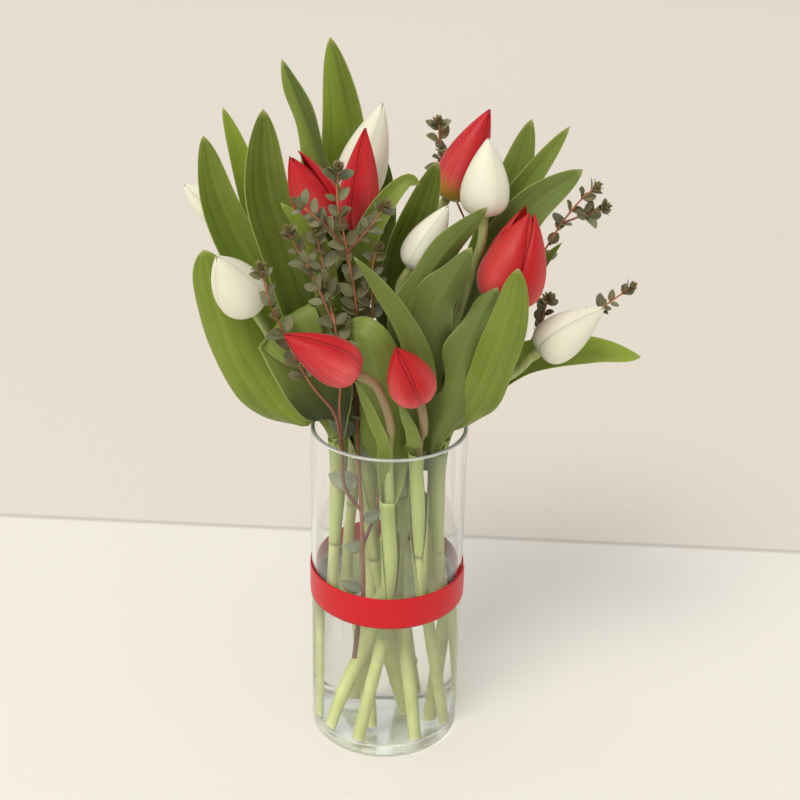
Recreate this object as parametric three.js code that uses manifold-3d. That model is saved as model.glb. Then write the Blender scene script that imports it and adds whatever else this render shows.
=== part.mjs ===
// Twelve tulips, six red and six white, with eucalyptus sprays in a straight glass vase.
// Millimetres, +Z up. The origin is the centre of the vase's underside; the front faces -Y.
import * as THREE from 'three';
import { mergeVertices } from 'three/addons/utils/BufferGeometryUtils.js';
import Module from 'manifold-3d';

const wasm = await Module();
wasm.setup();

// --- driving dimensions
const GAP = 0.3; // clear space between pieces that touch
const VASE_RADIUS = 55;
const VASE_HEIGHT = 250;
const VASE_WALL = 3;
const VASE_FLOOR = 8;
const VASE_SIDES = 32;
const WATER_TOP = 127;
const RIBBON_LOW = 116;
const RIBBON_WIDTH = 25;
const RIBBON_THICK = 0.7;
const RIBBON_SEAM = -22; // degrees round the vase, 0 is +X
const STEM_FOOT = 9.8; // height of the cut ends above the table
const STEM_WAIST = 130;
const STEM_RIM = 245;
const STEM_RADIUS_LOW = 4.4;
const STEM_RADIUS_TOP = 3.1;
const STEM_SIDES = 5;
const STEM_STEPS = 9;
const BLOOM_SEAT = 1.0; // the stem stops this far below a bloom's base
const LEAF_THICK = 0.8;
const PETAL_THICK = 1.1;
const LEAF_ROWS = 7;
const LEAF_COLUMNS = 3;
const PETAL_ROWS = 4;
const PETAL_COLUMNS = 3;

// Where the hollow side of a leaf looks.
const TO_FRONT = [0, -0.9, 0.43];
const TO_BACK = [0, 0.9, -0.43];
const TO_SKY = [-0.1, -0.45, 0.9];
const TO_MIDDLE = [0.55, 0.8, 0.1];

const LOOKS = {
  glass: { color: 0xe8efee, roughness: 0.05, metalness: 0 },
  water: { color: 0xdfe8dd, roughness: 0.05, metalness: 0 },
  ribbon: { color: 0xc4161c, roughness: 0.35, metalness: 0 },
  green: { color: 0x4f7a35, roughness: 0.5, metalness: 0 },
  red: { color: 0xc8202f, roughness: 0.45, metalness: 0 },
  white: { color: 0xf2ecd8, roughness: 0.45, metalness: 0 },
  eucalyptus: { color: 0x5d6b50, roughness: 0.65, metalness: 0 },
};

// --- the stems, leaves, blooms and twigs, each placed by a few points on its line
const TULIPS = [
  {
    name: 'tulip_01',
    colour: 'white',
    foot: [-32, 26],
    waist: [-30, 19],
    rim: [-29, 24],
    neck: [[-93, 54, 295]],
    base: [-118, 66, 376],
    tip: [-147, 72, 396],
    width: 23,
    open: 0.05,
    spin: 0,
    lean: [0, 0, 0, 0, 0, 0],
    leaves: [
      {
        at: 236,
        side: 60,
        path: [[-62, 45, 285], [-84, 50, 314], [-104, 50, 354], [-120, 50, 393], [-129, 48, 438]],
        width: 33,
        face: TO_FRONT,
        tip: 6,
        round: 24,
        wave: [1, 1.5, 0],
      },
      {
        at: 236,
        side: 330,
        path: [[-63, 60, 295], [-84, 68, 338], [-99, 74, 386], [-109, 76, 421], [-119, 78, 450]],
        width: 22,
        face: TO_FRONT,
        tip: 6,
        round: 20,
        wave: [0.5, 1.5, 0],
      },
    ],
  },
  {
    name: 'tulip_02',
    colour: 'red',
    foot: [12, 8],
    waist: [-8, 2],
    rim: [-21, 6],
    neck: [[-45, 12, 336]],
    base: [-44, 14, 390],
    tip: [-67, 10, 436],
    width: 30,
    open: 0.1,
    spin: 20,
    lean: [0.1, 0, 0, 0, 0.08, 0],
    leaves: [
      {
        at: 200,
        side: 150,
        path: [[-42, 12, 277], [-57, 18, 323], [-72, 26, 366], [-85, 32, 406], [-87, 36, 460]],
        width: 37,
        face: TO_FRONT,
        tip: 7,
        round: 34,
        wave: [0.6, 1.5, 0],
      },
      {
        at: 225,
        side: 250,
        path: [[-39, -5, 311], [-42, -8, 348], [-49, -10, 382], [-59, -11, 397], [-72, -13, 412]],
        width: 20,
        face: TO_BACK,
        tip: 5.5,
        round: 16,
        wave: [1.2, 2.5, 0],
      },
    ],
  },
  {
    name: 'tulip_03',
    colour: 'white',
    foot: [8, 42],
    waist: [2, 37],
    rim: [-8, 36],
    neck: [[-34, 50, 329]],
    base: [-28, 52, 397],
    tip: [-9, 54, 461],
    width: 33,
    open: 0.03,
    spin: 40,
    lean: [0, 0, 0, 0, 0, 0],
    leaves: [
      {
        at: 215,
        side: 90,
        path: [[-27, 50, 283], [-32, 64, 331], [-35, 74, 387], [-36, 76, 444], [-45, 74, 500]],
        width: 37,
        face: TO_FRONT,
        tip: 6,
        round: 34,
        wave: [0.6, 1.5, 0],
      },
      {
        at: 215,
        side: 180,
        path: [[-34, 36, 304], [-38, 36, 371], [-51, 40, 422], [-63, 42, 458], [-75, 44, 491]],
        width: 26,
        face: TO_FRONT,
        tip: 6,
        round: 13,
        wave: [3.4, 2, 0.4],
      },
    ],
  },
  {
    name: 'tulip_04',
    colour: 'red',
    foot: [-8, -16],
    waist: [-13, 17],
    rim: [-6, 20],
    neck: [[-27, 12, 337]],
    base: [-24, 8, 388],
    tip: [-19, 8, 456],
    width: 27,
    open: 0,
    spin: 10,
    lean: [0, 0, 0, 0, 0, 0],
    leaves: [
      {
        at: 200,
        side: 270,
        path: [
          [-23, 8, 316],
          [-22, 6, 350],
          [-18, 0, 385],
          [-5, -10, 414],
          [8, -8, 427],
          [17, -2, 423],
        ],
        width: 24,
        face: TO_SKY,
        tip: 7,
        round: 9,
        wave: [1, 1.5, 0],
      },
    ],
  },
  {
    name: 'tulip_05',
    colour: 'white',
    foot: [-42, -12],
    waist: [-39, -8],
    rim: [-36, -8],
    neck: [[-60, -24, 285]],
    base: [-92, -26, 346],
    tip: [-109, -50, 388],
    width: 33,
    open: 0.06,
    spin: 0,
    lean: [0, 0, 0, 0, 0, 0],
    leaves: [
      {
        at: 218,
        side: 190,
        path: [
          [-50, -10, 258],
          [-59, -14, 254],
          [-78, -14, 267],
          [-100, -11, 300],
          [-115, -8, 342],
          [-124, -4, 376],
        ],
        width: 42,
        face: [0.25, 0.93, -0.2],
        tip: 10,
        round: 34,
        wave: [1, 1.5, 0],
      },
      {
        at: 222,
        side: 340,
        path: [
          [-39, -26, 266],
          [-47, -27, 288],
          [-57, -28, 311],
          [-65, -30, 331],
          [-70, -33, 339],
          [-68, -39, 339],
          [-61, -42, 327],
          [-53, -42, 311],
        ],
        width: 48,
        face: TO_FRONT,
        tip: 13,
        round: 70,
        wave: [0.6, 1.5, 0],
      },
    ],
  },
  {
    name: 'tulip_06',
    colour: 'red',
    foot: [-17, -41],
    waist: [2, -36],
    rim: [0, -42],
    neck: [[1, -50, 274], [-7, -60, 304]],
    base: [-21, -65, 317],
    tip: [-66, -71, 345],
    width: 31,
    open: 0,
    spin: 30,
    lean: [0, 0, 0, 0, 0, 0],
    leaves: [
      {
        at: 160,
        side: 110,
        path: [
          [-3, -32, 253],
          [-4, -35, 281],
          [-8, -38, 311],
          [-15, -39, 329],
          [-24, -33, 332],
          [-33, -25, 323],
        ],
        width: 35,
        face: TO_BACK,
        tip: 9,
        round: 24,
        wave: [0.5, 1.5, 0],
      },
      {
        at: 190,
        side: 200,
        path: [[-3, -48, 255], [-10, -53, 279], [-16, -57, 296], [-22, -60, 310]],
        width: 9,
        face: TO_FRONT,
        tip: 5.5,
        round: 8,
        wave: [0.3, 1.5, 0],
      },
    ],
  },
  {
    name: 'tulip_07',
    colour: 'red',
    foot: [40, -18],
    waist: [25, -30],
    rim: [20, -38],
    neck: [[23, -44, 266], [22, -52, 283]],
    base: [18, -54, 297],
    tip: [4, -76, 340],
    width: 31,
    open: 0,
    spin: 50,
    lean: [0, 0, 0, 0, 0, 0],
    leaves: [
      {
        at: 190,
        side: 75,
        path: [
          [22, -24, 256],
          [21, -36, 293],
          [15, -44, 327],
          [5, -46, 351],
          [-8, -46, 369],
          [-24, -47, 389],
        ],
        width: 26,
        face: TO_BACK,
        tip: 2.5,
        round: 18,
        wave: [1.6, 2, 0.5],
      },
      {
        at: 225,
        side: 200,
        path: [[17, -50, 258], [15, -52, 270], [10, -54, 283], [6, -54, 295]],
        width: 11,
        face: TO_BACK,
        tip: 3,
        round: 16,
        wave: [0.3, 1.5, 0],
      },
    ],
  },
  {
    name: 'tulip_08',
    colour: 'white',
    foot: [22, -39],
    waist: [8, -18],
    rim: [8, -14],
    neck: [[11, -6, 323]],
    base: [13, -4, 367],
    tip: [35, -2, 409],
    width: 26,
    open: 0,
    spin: 15,
    lean: [0, 0, 0, 0, 0, 0],
    leaves: [
      {
        at: 190,
        side: 90,
        path: [[14, 8, 280], [4, 14, 329], [9, 17, 372], [20, 17, 407], [28, 17, 433]],
        width: 32,
        face: TO_FRONT,
        tip: 7,
        round: 24,
        wave: [0.5, 1.5, 0],
      },
      {
        at: 210,
        side: 230,
        path: [[15, -18, 299], [12, -22, 337], [27, -24, 374], [43, -26, 398], [59, -28, 417]],
        width: 27,
        face: TO_BACK,
        tip: 6,
        round: 18,
        wave: [0.8, 1.5, 0],
      },
      {
        at: 180,
        side: 330,
        path: [[22, -15, 276], [25, -24, 317], [29, -32, 350], [40, -34, 374], [50, -36, 393]],
        width: 33,
        face: TO_BACK,
        tip: 6,
        round: 24,
        wave: [2.4, 2, 2.6],
      },
    ],
  },
  {
    name: 'tulip_09',
    colour: 'red',
    foot: [-14, 34],
    waist: [6, 26],
    rim: [13, 37],
    neck: [[31, 44, 348]],
    base: [36, 48, 399],
    tip: [62, 48, 460],
    width: 31,
    open: 0.02,
    spin: 60,
    lean: [0, 0, 0, 0, 0, 0],
    leaves: [
      {
        at: 200,
        side: 20,
        path: [[37, 43, 272], [57, 46, 333], [71, 50, 374], [82, 52, 415], [91, 54, 453]],
        width: 31,
        face: TO_FRONT,
        tip: 7,
        round: 40,
        wave: [0.6, 1.5, 0],
      },
      {
        at: 200,
        side: 150,
        path: [[17, 42, 272], [-1, 48, 309], [-8, 60, 348], [-7, 70, 386], [-7, 72, 419]],
        width: 22,
        face: TO_FRONT,
        tip: 8,
        round: 16,
        wave: [0.8, 1.5, 0],
      },
    ],
  },
  {
    name: 'tulip_10',
    colour: 'white',
    foot: [-36, -27],
    waist: [4, -4],
    rim: [25, 20],
    neck: [[52, 14, 352]],
    base: [59, 9, 400],
    tip: [60, 12, 450],
    width: 32,
    open: 0,
    spin: 5,
    lean: [0, 0, 0, 0, 0, 0],
    leaves: [
      {
        at: 200,
        side: 80,
        path: [[46, 28, 271], [58, 32, 331], [72, 36, 386], [91, 38, 417], [115, 40, 452]],
        width: 23,
        face: TO_FRONT,
        tip: 6,
        round: 14,
        wave: [0.4, 1.5, 0],
      },
      {
        at: 215,
        side: 0,
        path: [[52, 18, 272], [60, 20, 319], [70, 22, 366], [90, 24, 400], [124, 26, 427]],
        width: 34,
        face: TO_FRONT,
        tip: 7,
        round: 24,
        wave: [0.6, 1.5, 0],
      },
    ],
  },
  {
    name: 'tulip_11',
    colour: 'red',
    foot: [43, 6],
    waist: [38, -8],
    rim: [35, -14],
    neck: [[63, -12, 312]],
    base: [73, -12, 346],
    tip: [89, -8, 407],
    width: 43,
    open: 0.12,
    spin: 25,
    lean: [0, 0, 0, 0, 0.24, 0.1],
    leaves: [
      {
        at: 225,
        side: 320,
        path: [[50, -30, 265], [59, -44, 290], [69, -50, 326], [76, -50, 357], [79, -48, 384]],
        width: 28,
        face: TO_BACK,
        tip: 8,
        round: 36,
        wave: [0.6, 1.5, 0],
      },
      {
        at: 215,
        side: 235,
        path: [
          [28, -32, 245],
          [32, -40, 267],
          [39, -43, 288],
          [44, -41, 305],
          [50, -38, 325],
          [57, -37, 346],
          [68, -35, 366],
        ],
        width: 28,
        face: TO_BACK,
        tip: 6,
        round: 18,
        wave: [3.6, 2, 1.2],
      },
    ],
  },
  {
    name: 'tulip_12',
    colour: 'white',
    foot: [26, -8],
    waist: [32, 9],
    rim: [39, 6],
    neck: [[85, -6, 294]],
    base: [100, -8, 310],
    tip: [142, 0, 340],
    width: 31,
    open: 0.03,
    spin: 0,
    lean: [0, 0, 0, 0, 0, 0],
    leaves: [
      {
        at: 222,
        side: 330,
        path: [
          [57, 4, 258],
          [71, 8, 277],
          [88, 12, 292],
          [111, 12, 299],
          [141, 17, 300],
          [174, 22, 295],
        ],
        width: 30,
        face: TO_SKY,
        tip: 6,
        round: 26,
        wave: [0.6, 1.5, 0],
      },
      {
        at: 225,
        side: 330,
        path: [[61, 10, 268], [75, 16, 304], [90, 18, 341], [102, 18, 365], [113, 18, 379]],
        width: 12,
        face: TO_FRONT,
        tip: 5.5,
        round: 12,
        wave: [0.3, 1.5, 0],
      },
    ],
  },
];

const SPRAYS = [
  {
    name: 'eucalyptus_spray_a',
    twigs: [
      {
        path: [
          [-20, -38, 81],
          [-16, -34, 129],
          [-17, -31, 167],
          [-18, -28, 196],
          [-21, -22, 240],
          [-22, -18, 281],
          [-23, -18, 342],
          [-29, -20, 382],
          [-35, -24, 415],
          [-35, -26, 439],
        ],
        radii: [1.7, 0.8],
        pairs: 8,
        leaf: 18,
        from: 0.5,
      },
      {
        path: [
          [-18, -28, 196],
          [-29, -31, 216],
          [-31, -35, 245],
          [-33, -41, 279],
          [-32, -44, 308],
          [-36, -41, 339],
          [-43, -24, 367],
          [-49, -22, 396],
        ],
        radii: [1.3, 0.8],
        pairs: 5,
        leaf: 18,
        from: 0.56,
      },
      {
        path: [
          [-31, -35, 245],
          [-36, -43, 277],
          [-48, -51, 298],
          [-58, -54, 317],
          [-68, -53, 339],
          [-75, -57, 359],
          [-81, -62, 386],
        ],
        radii: [1.1, 0.7],
        pairs: 4,
        leaf: 15,
        from: 0.45,
      },
      {
        path: [[-36, -41, 339], [-51, -26, 368], [-61, -20, 383], [-67, -20, 396]],
        radii: [1, 0.7],
        pairs: 3,
        leaf: 15,
        from: 0.2,
      },
      {
        path: [
          [-17, -31, 167],
          [-7, -16, 197],
          [-5, -12, 235],
          [-8, -10, 273],
          [-12, -12, 325],
          [-13, -20, 369],
          [-9, -22, 386],
        ],
        radii: [1.2, 0.7],
        pairs: 4,
        leaf: 16,
        from: 0.6,
      },
      {
        path: [[-29, -20, 382], [-14, -26, 402], [-5, -28, 417]],
        radii: [0.9, 0.7],
        pairs: 2,
        leaf: 15,
        from: 0.3,
      },
      {
        path: [[-29, -20, 382], [-41, -25, 400], [-52, -27, 410], [-61, -26, 417]],
        radii: [0.9, 0.7],
        pairs: 2,
        leaf: 15,
        from: 0.35,
      },
    ],
  },
  {
    name: 'eucalyptus_spray_b',
    twigs: [
      {
        path: [
          [41, 12, 62],
          [40, 22, 130],
          [37, 28, 190],
          [35, 30, 240],
          [43, 34, 268],
          [76, 31, 305],
          [94, 29, 351],
          [105, 28, 374],
          [113, 28, 389],
          [124, 30, 404],
          [134, 32, 413],
        ],
        radii: [1.5, 0.8],
        pairs: 6,
        leaf: 18,
        from: 0.6,
      },
      {
        path: [[113, 28, 389], [130, 26, 397], [141, 25, 402]],
        radii: [0.9, 0.7],
        pairs: 2,
        leaf: 15,
        from: 0.3,
      },
      {
        path: [
          [43, 34, 268],
          [77, 32, 277],
          [97, 32, 298],
          [121, 30, 312],
          [143, 25, 329],
          [163, 22, 347],
        ],
        radii: [1.1, 0.7],
        pairs: 4,
        leaf: 15,
        from: 0.45,
      },
      {
        path: [[97, 32, 298], [103, 24, 319], [107, 22, 338]],
        radii: [0.9, 0.7],
        pairs: 2,
        leaf: 14,
        from: 0.3,
      },
      {
        path: [
          [76, 31, 305],
          [82, 46, 317],
          [73, 62, 335],
          [50, 70, 376],
          [33, 70, 415],
          [29, 68, 446],
        ],
        radii: [1, 0.7],
        pairs: 3,
        leaf: 16,
        from: 0.75,
      },
    ],
  },
];
// --- end of the table

const FRONT = new THREE.Vector3(0, -1, 0);
const vec = (a) => new THREE.Vector3(a[0], a[1], a[2]);
const ease = (x) => {
  const c = Math.min(1, Math.max(0, x));
  return c * c * (3 - 2 * c);
};

// A smooth line through the points, as equally spaced points along its length.
function line(points, steps) {
  const first = points[0].clone().multiplyScalar(2).sub(points[1]);
  const n = points.length;
  const last = points[n - 1].clone().multiplyScalar(2).sub(points[n - 2]);
  const p = [first, ...points, last];
  const dense = [];
  for (let i = 1; i < n; i++) {
    for (let k = 0; k < 24; k++) {
      dense.push(spline(p[i - 1], p[i], p[i + 1], p[i + 2], k / 24));
    }
  }
  dense.push(points[n - 1].clone());
  const along = [0];
  for (let i = 1; i < dense.length; i++) {
    along.push(along[i - 1] + dense[i].distanceTo(dense[i - 1]));
  }
  const total = along[along.length - 1];
  const out = [];
  let j = 1;
  for (let i = 0; i <= steps; i++) {
    const want = (total * i) / steps;
    while (j < dense.length - 1 && along[j] < want) j++;
    const f = (want - along[j - 1]) / (along[j] - along[j - 1]);
    out.push(dense[j - 1].clone().lerp(dense[j], Math.min(1, f)));
  }
  return out;
}

function spline(a, b, c, d, t) {
  const out = b.clone().multiplyScalar(2);
  out.addScaledVector(c.clone().sub(a), t);
  const second = a.clone().multiplyScalar(2).addScaledVector(b, -5);
  second.addScaledVector(c, 4).sub(d);
  out.addScaledVector(second, t * t);
  const third = b.clone().multiplyScalar(3).sub(a);
  third.addScaledVector(c, -3).add(d);
  out.addScaledVector(third, t * t * t);
  return out.multiplyScalar(0.5);
}

// Directions along a line, and a side direction carried along it without twist.
function frames(points, start) {
  const out = [];
  let normal = start.clone();
  for (let i = 0; i < points.length; i++) {
    const a = points[Math.max(0, i - 1)];
    const b = points[Math.min(points.length - 1, i + 1)];
    const tangent = b.clone().sub(a).normalize();
    normal = normal.clone().addScaledVector(tangent, -normal.dot(tangent)).normalize();
    const side = tangent.clone().cross(normal);
    out.push({ at: points[i], tangent, normal, side });
  }
  return out;
}

// The same at a few stops, with the directions taken from the fine line.
function stops(points, start, steps) {
  return frames(line(points, steps * 8), start).filter((f, i) => i % 8 === 0);
}

// --- solids
function toSolid(geometry) {
  geometry.deleteAttribute('normal');
  geometry.deleteAttribute('uv');
  const merged = mergeVertices(geometry, 1e-4);
  return new wasm.Manifold(
    new wasm.Mesh({
      numProp: 3,
      vertProperties: new Float32Array(merged.attributes.position.array),
      triVerts: new Uint32Array(merged.index.array),
    }),
  );
}

function fromPoints(points, triangles) {
  const geometry = new THREE.BufferGeometry();
  const flat = points.flatMap((p) => [p.x, p.y, p.z]);
  geometry.setAttribute('position', new THREE.Float32BufferAttribute(flat, 3));
  geometry.setIndex(triangles);
  return geometry;
}

function toGeometry(solid) {
  const mesh = solid.getMesh();
  const geometry = new THREE.BufferGeometry();
  const flat = new Float32Array(mesh.vertProperties);
  geometry.setAttribute('position', new THREE.BufferAttribute(flat, 3));
  geometry.setIndex(new THREE.BufferAttribute(new Uint32Array(mesh.triVerts), 1));
  geometry.computeVertexNormals();
  return geometry;
}

// One body of all the pieces: sealed hollows are filled and loose scraps are dropped.
function fuse(solids) {
  const joined = solids.reduce((a, b) => a.add(b));
  const bodies = joined.decompose();
  bodies.sort((a, b) => b.volume() - a.volume());
  return bodies[0];
}

// A tube through rings of points, closed with a fan at each end.
function tube(rings) {
  const sides = rings[0].length;
  const points = rings.flat();
  const triangles = [];
  for (let i = 0; i < rings.length - 1; i++) {
    for (let k = 0; k < sides; k++) {
      const a = i * sides + k;
      const b = i * sides + ((k + 1) % sides);
      triangles.push(a, b, b + sides, a, b + sides, a + sides);
    }
  }
  const end = (rings.length - 1) * sides;
  for (let k = 1; k < sides - 1; k++) {
    triangles.push(0, k + 1, k, end, end + k, end + k + 1);
  }
  return toSolid(fromPoints(points, triangles));
}

function ring(frame, radius, sides) {
  const out = [];
  for (let k = 0; k < sides; k++) {
    const a = (2 * Math.PI * k) / sides;
    const p = frame.at.clone().addScaledVector(frame.normal, radius * Math.cos(a));
    out.push(p.addScaledVector(frame.side, radius * Math.sin(a)));
  }
  return out;
}

// A thin blade of even thickness about a surface, split alike on both faces.
function blade(surface, rows, columns, thick, crowd = 0) {
  const width = columns + 1;
  const top = [];
  const bottom = [];
  const step = 0.002;
  for (let i = 0; i <= rows; i++) {
    for (let j = 0; j <= columns; j++) {
      const x = i / rows;
      const s = x * (1 + crowd * (1 - x));
      const t = (2 * j) / columns - 1;
      const p = surface(s, t);
      const s0 = Math.max(0, s - step);
      const s1 = Math.min(1, s + step);
      const along = surface(s1, t).sub(surface(s0, t));
      const across = surface(s, t + step).sub(surface(s, t - step));
      const normal = across.cross(along).normalize();
      top.push(p.clone().addScaledVector(normal, thick / 2));
      bottom.push(p.clone().addScaledVector(normal, -thick / 2));
    }
  }
  const shift = top.length;
  const triangles = [];
  const quad = (a, b, c, d) => triangles.push(a, b, c, a, c, d);
  for (let i = 0; i < rows; i++) {
    for (let j = 0; j < columns; j++) {
      const a = i * width + j;
      quad(a, a + 1, a + width + 1, a + width);
      triangles.push(shift + a, shift + a + width + 1, shift + a + 1);
      triangles.push(shift + a, shift + a + width, shift + a + width + 1);
    }
  }
  for (let i = 0; i < rows; i++) {
    const a = i * width;
    quad(a, a + width, shift + a + width, shift + a);
    const b = a + columns;
    quad(b, shift + b, shift + b + width, b + width);
  }
  for (let j = 0; j < columns; j++) {
    quad(j, shift + j, shift + j + 1, j + 1);
    const b = rows * width + j;
    quad(b, b + 1, shift + b + 1, shift + b);
  }
  return toSolid(fromPoints([...top, ...bottom], triangles));
}

// --- tulips
function stemLine(tulip) {
  const base = vec(tulip.base);
  const axis = vec(tulip.tip).sub(base).normalize();
  const foot = new THREE.Vector3(tulip.foot[0], tulip.foot[1], STEM_FOOT);
  const waist = new THREE.Vector3(tulip.waist[0], tulip.waist[1], STEM_WAIST);
  return [
    foot,
    waist,
    new THREE.Vector3(tulip.rim[0], tulip.rim[1], STEM_RIM),
    ...tulip.neck.map(vec),
    base.clone().addScaledVector(axis, -0.4 * base.distanceTo(vec(tulip.neck.at(-1)))),
    base.clone().addScaledVector(axis, -BLOOM_SEAT),
  ];
}

function stemRadius(s) {
  return STEM_RADIUS_LOW + (STEM_RADIUS_TOP - STEM_RADIUS_LOW) * ease(s);
}

function stemRings(points, steps, extra) {
  const along = stops(points, FRONT, steps);
  const last = along[steps];
  last.tangent = points.at(-1).clone().sub(points.at(-2)).normalize();
  last.normal.addScaledVector(last.tangent, -last.normal.dot(last.tangent)).normalize();
  last.side = last.tangent.clone().cross(last.normal);
  return along.map((f, i) => ring(f, stemRadius(i / steps) + extra, STEM_SIDES));
}

function stemAt(tulip, height) {
  const along = line(stemLine(tulip), 200);
  return along.find((p) => p.z >= height) ?? along[along.length - 1];
}

// A leaf climbs along the stem on one side, then leaves it and opens from its rolled foot.
function leafSurface(tulip, leaf) {
  const turn = THREE.MathUtils.degToRad(leaf.side);
  const out = new THREE.Vector3(Math.cos(turn), Math.sin(turn), 0);
  const foot = stemAt(tulip, leaf.at).clone().addScaledVector(out, STEM_RADIUS_LOW - 1.6);
  const next = stemAt(tulip, leaf.at + 25).clone().addScaledVector(out, STEM_RADIUS_LOW + 1.4);
  const points = line([foot, next, ...leaf.path.map(vec)], 96);
  const along = frames(points, out.clone().negate());
  const middle = along[48];
  const face = vec(leaf.face);
  const twist = Math.atan2(face.dot(middle.side), face.dot(middle.normal));
  const [wave, count, phase] = leaf.wave;
  return (s, t) => {
    const k = Math.min(95, Math.floor(s * 96));
    const f = s * 96 - k;
    const a = along[k];
    const b = along[k + 1];
    const at = a.at.clone().lerp(b.at, f);
    const n0 = a.normal.clone().lerp(b.normal, f).normalize();
    const b0 = a.side.clone().lerp(b.side, f).normalize();
    const angle = twist * ease(s / 0.5);
    const normal = n0.clone().multiplyScalar(Math.cos(angle)).addScaledVector(b0, Math.sin(angle));
    const side = b0.clone().multiplyScalar(Math.cos(angle)).addScaledVector(n0, -Math.sin(angle));
    const open = ease(s / 0.4);
    const half = 0.5 * leaf.width * leafWidth(s, leaf.tip);
    const bend = (1 - open) / (STEM_RADIUS_LOW + 1.4) + open / leaf.round;
    const roll = Math.min(1.5, half * bend) * t;
    const ripple = wave * t * t * Math.sin(2 * Math.PI * count * s + phase + (t > 0 ? 1.3 : 0));
    at.addScaledVector(side, (half / Math.min(1.5, half * bend)) * Math.sin(roll));
    at.addScaledVector(normal, (half / Math.min(1.5, half * bend)) * (1 - Math.cos(roll)));
    return at.addScaledVector(normal, ripple * ease(s / 0.3) * ease((1 - s) / 0.15));
  };
}

function leafWidth(s, tip) {
  const low = 0.34 + 0.66 * ease(s / 0.5);
  return Math.max(0.04, low * Math.pow(Math.max(0, 1 - Math.pow(s, tip)), 0.75));
}

// A petal is a strip of a surface turned about the bloom's axis, tucked in at its edges.
function bloomFrame(tulip) {
  const base = vec(tulip.base);
  const axis = vec(tulip.tip).sub(base);
  const length = axis.length();
  axis.normalize();
  const u = new THREE.Vector3(0, 0, 1).addScaledVector(axis, -axis.z).normalize();
  const v = axis.clone().cross(u);
  return { base, axis, length, u, v };
}

function petalSurface(tulip, index) {
  const { base, axis, length, u, v } = bloomFrame(tulip);
  const inner = index % 2;
  const radius = 0.5 * tulip.width * (inner ? 0.8 : 1);
  const middle = THREE.MathUtils.degToRad(tulip.spin + 60 * index);
  const spread = inner ? 0.85 : 0.98;
  const taper = 11 - 12 * tulip.open;
  const lean = tulip.lean[index];
  return (s, t) => {
    const r = radius * bulge(s, tulip.open) * (1 - 0.08 * t * t * ease(4 * s));
    const swing = length * lean * s * s;
    const a = spread * t * Math.pow(Math.max(0.002, 1 - Math.pow(s, taper)), 0.8);
    const p = base.clone().addScaledVector(axis, length * rise(s) * (inner ? 0.96 : 1));
    p.addScaledVector(u, r * Math.cos(middle + a) + swing * Math.cos(middle));
    return p.addScaledVector(v, r * Math.sin(middle + a) + swing * Math.sin(middle));
  };
}

function bulge(s, open) {
  const q = 1 - s;
  const low = 0.2 * q * q * q + 4.35 * q * q * s;
  return low + 3 * (1.05 + open) * q * s * s + (0.1 + open) * s * s * s;
}

function rise(s) {
  const q = 1 - s;
  return 0.06 * q * q * s + 1.65 * q * s * s + s * s * s;
}

// The inner petals of a shut bloom lie round each other as one body with three ridges.
function heart(tulip, shut) {
  const { base, axis, u, v, length } = bloomFrame(tulip);
  const stops = shut ? [0, 0.1, 0.2, 0.35, 0.55, 0.75, 0.93] : [0, 0.1, 0.2, 0.3];
  const rings = stops.map((s, i) => {
    const out = [];
    const z = i === 0 ? -0.6 : length * rise(s) * 0.97 + 0.6;
    for (let k = 0; k < 6; k++) {
      const a = THREE.MathUtils.degToRad(tulip.spin + 60 * k);
      const full = k % 2 ? 0.88 : 0.76;
      const r = i === 0 ? 3.4 : 0.5 * tulip.width * bulge(s, 0) * (shut ? full : 0.75);
      const p = base.clone().addScaledVector(axis, z).addScaledVector(u, r * Math.cos(a));
      out.push(p.addScaledVector(v, r * Math.sin(a)));
    }
    return out;
  });
  return tube(rings);
}

function bloomSolid(tulip) {
  const shut = tulip.open < 0.08;
  const layers = shut ? [0, 2, 4] : [0, 1, 2, 3, 4, 5];
  const petals = layers.map((k) =>
    blade(petalSurface(tulip, k), PETAL_ROWS, PETAL_COLUMNS - (k % 2), PETAL_THICK, -0.2),
  );
  return fuse([heart(tulip, shut), ...petals]);
}

function leafyStemSolid(tulip) {
  const stem = tube(stemRings(stemLine(tulip), STEM_STEPS, 0));
  const leaves = tulip.leaves.map((leaf) =>
    blade(leafSurface(tulip, leaf), LEAF_ROWS, LEAF_COLUMNS, LEAF_THICK, 0.35),
  );
  return fuse([stem, ...leaves]);
}

// --- eucalyptus
function chance(seed) {
  let state = seed;
  return () => {
    state = (state * 16807) % 2147483647;
    return state / 2147483647;
  };
}

function twigRadius(twig, s) {
  return twig.radii[0] + (twig.radii[1] - twig.radii[0]) * s;
}

// A small keeled leaf: its rib runs from root to tip, its two sides stand up from it.
function leaflet(root, direction, normal, length, width) {
  const side = direction.clone().cross(normal).normalize();
  const face = side.clone().cross(direction).normalize();
  const wide = root.clone().addScaledVector(direction, 0.48 * length).addScaledVector(face, 1.2);
  const points = [
    root.clone(),
    root.clone().addScaledVector(direction, length),
    wide.clone().addScaledVector(side, width / 2),
    wide.clone().addScaledVector(side, -width / 2),
  ];
  return toSolid(fromPoints(points, [0, 2, 3, 1, 3, 2, 0, 1, 2, 1, 0, 3]));
}

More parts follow.
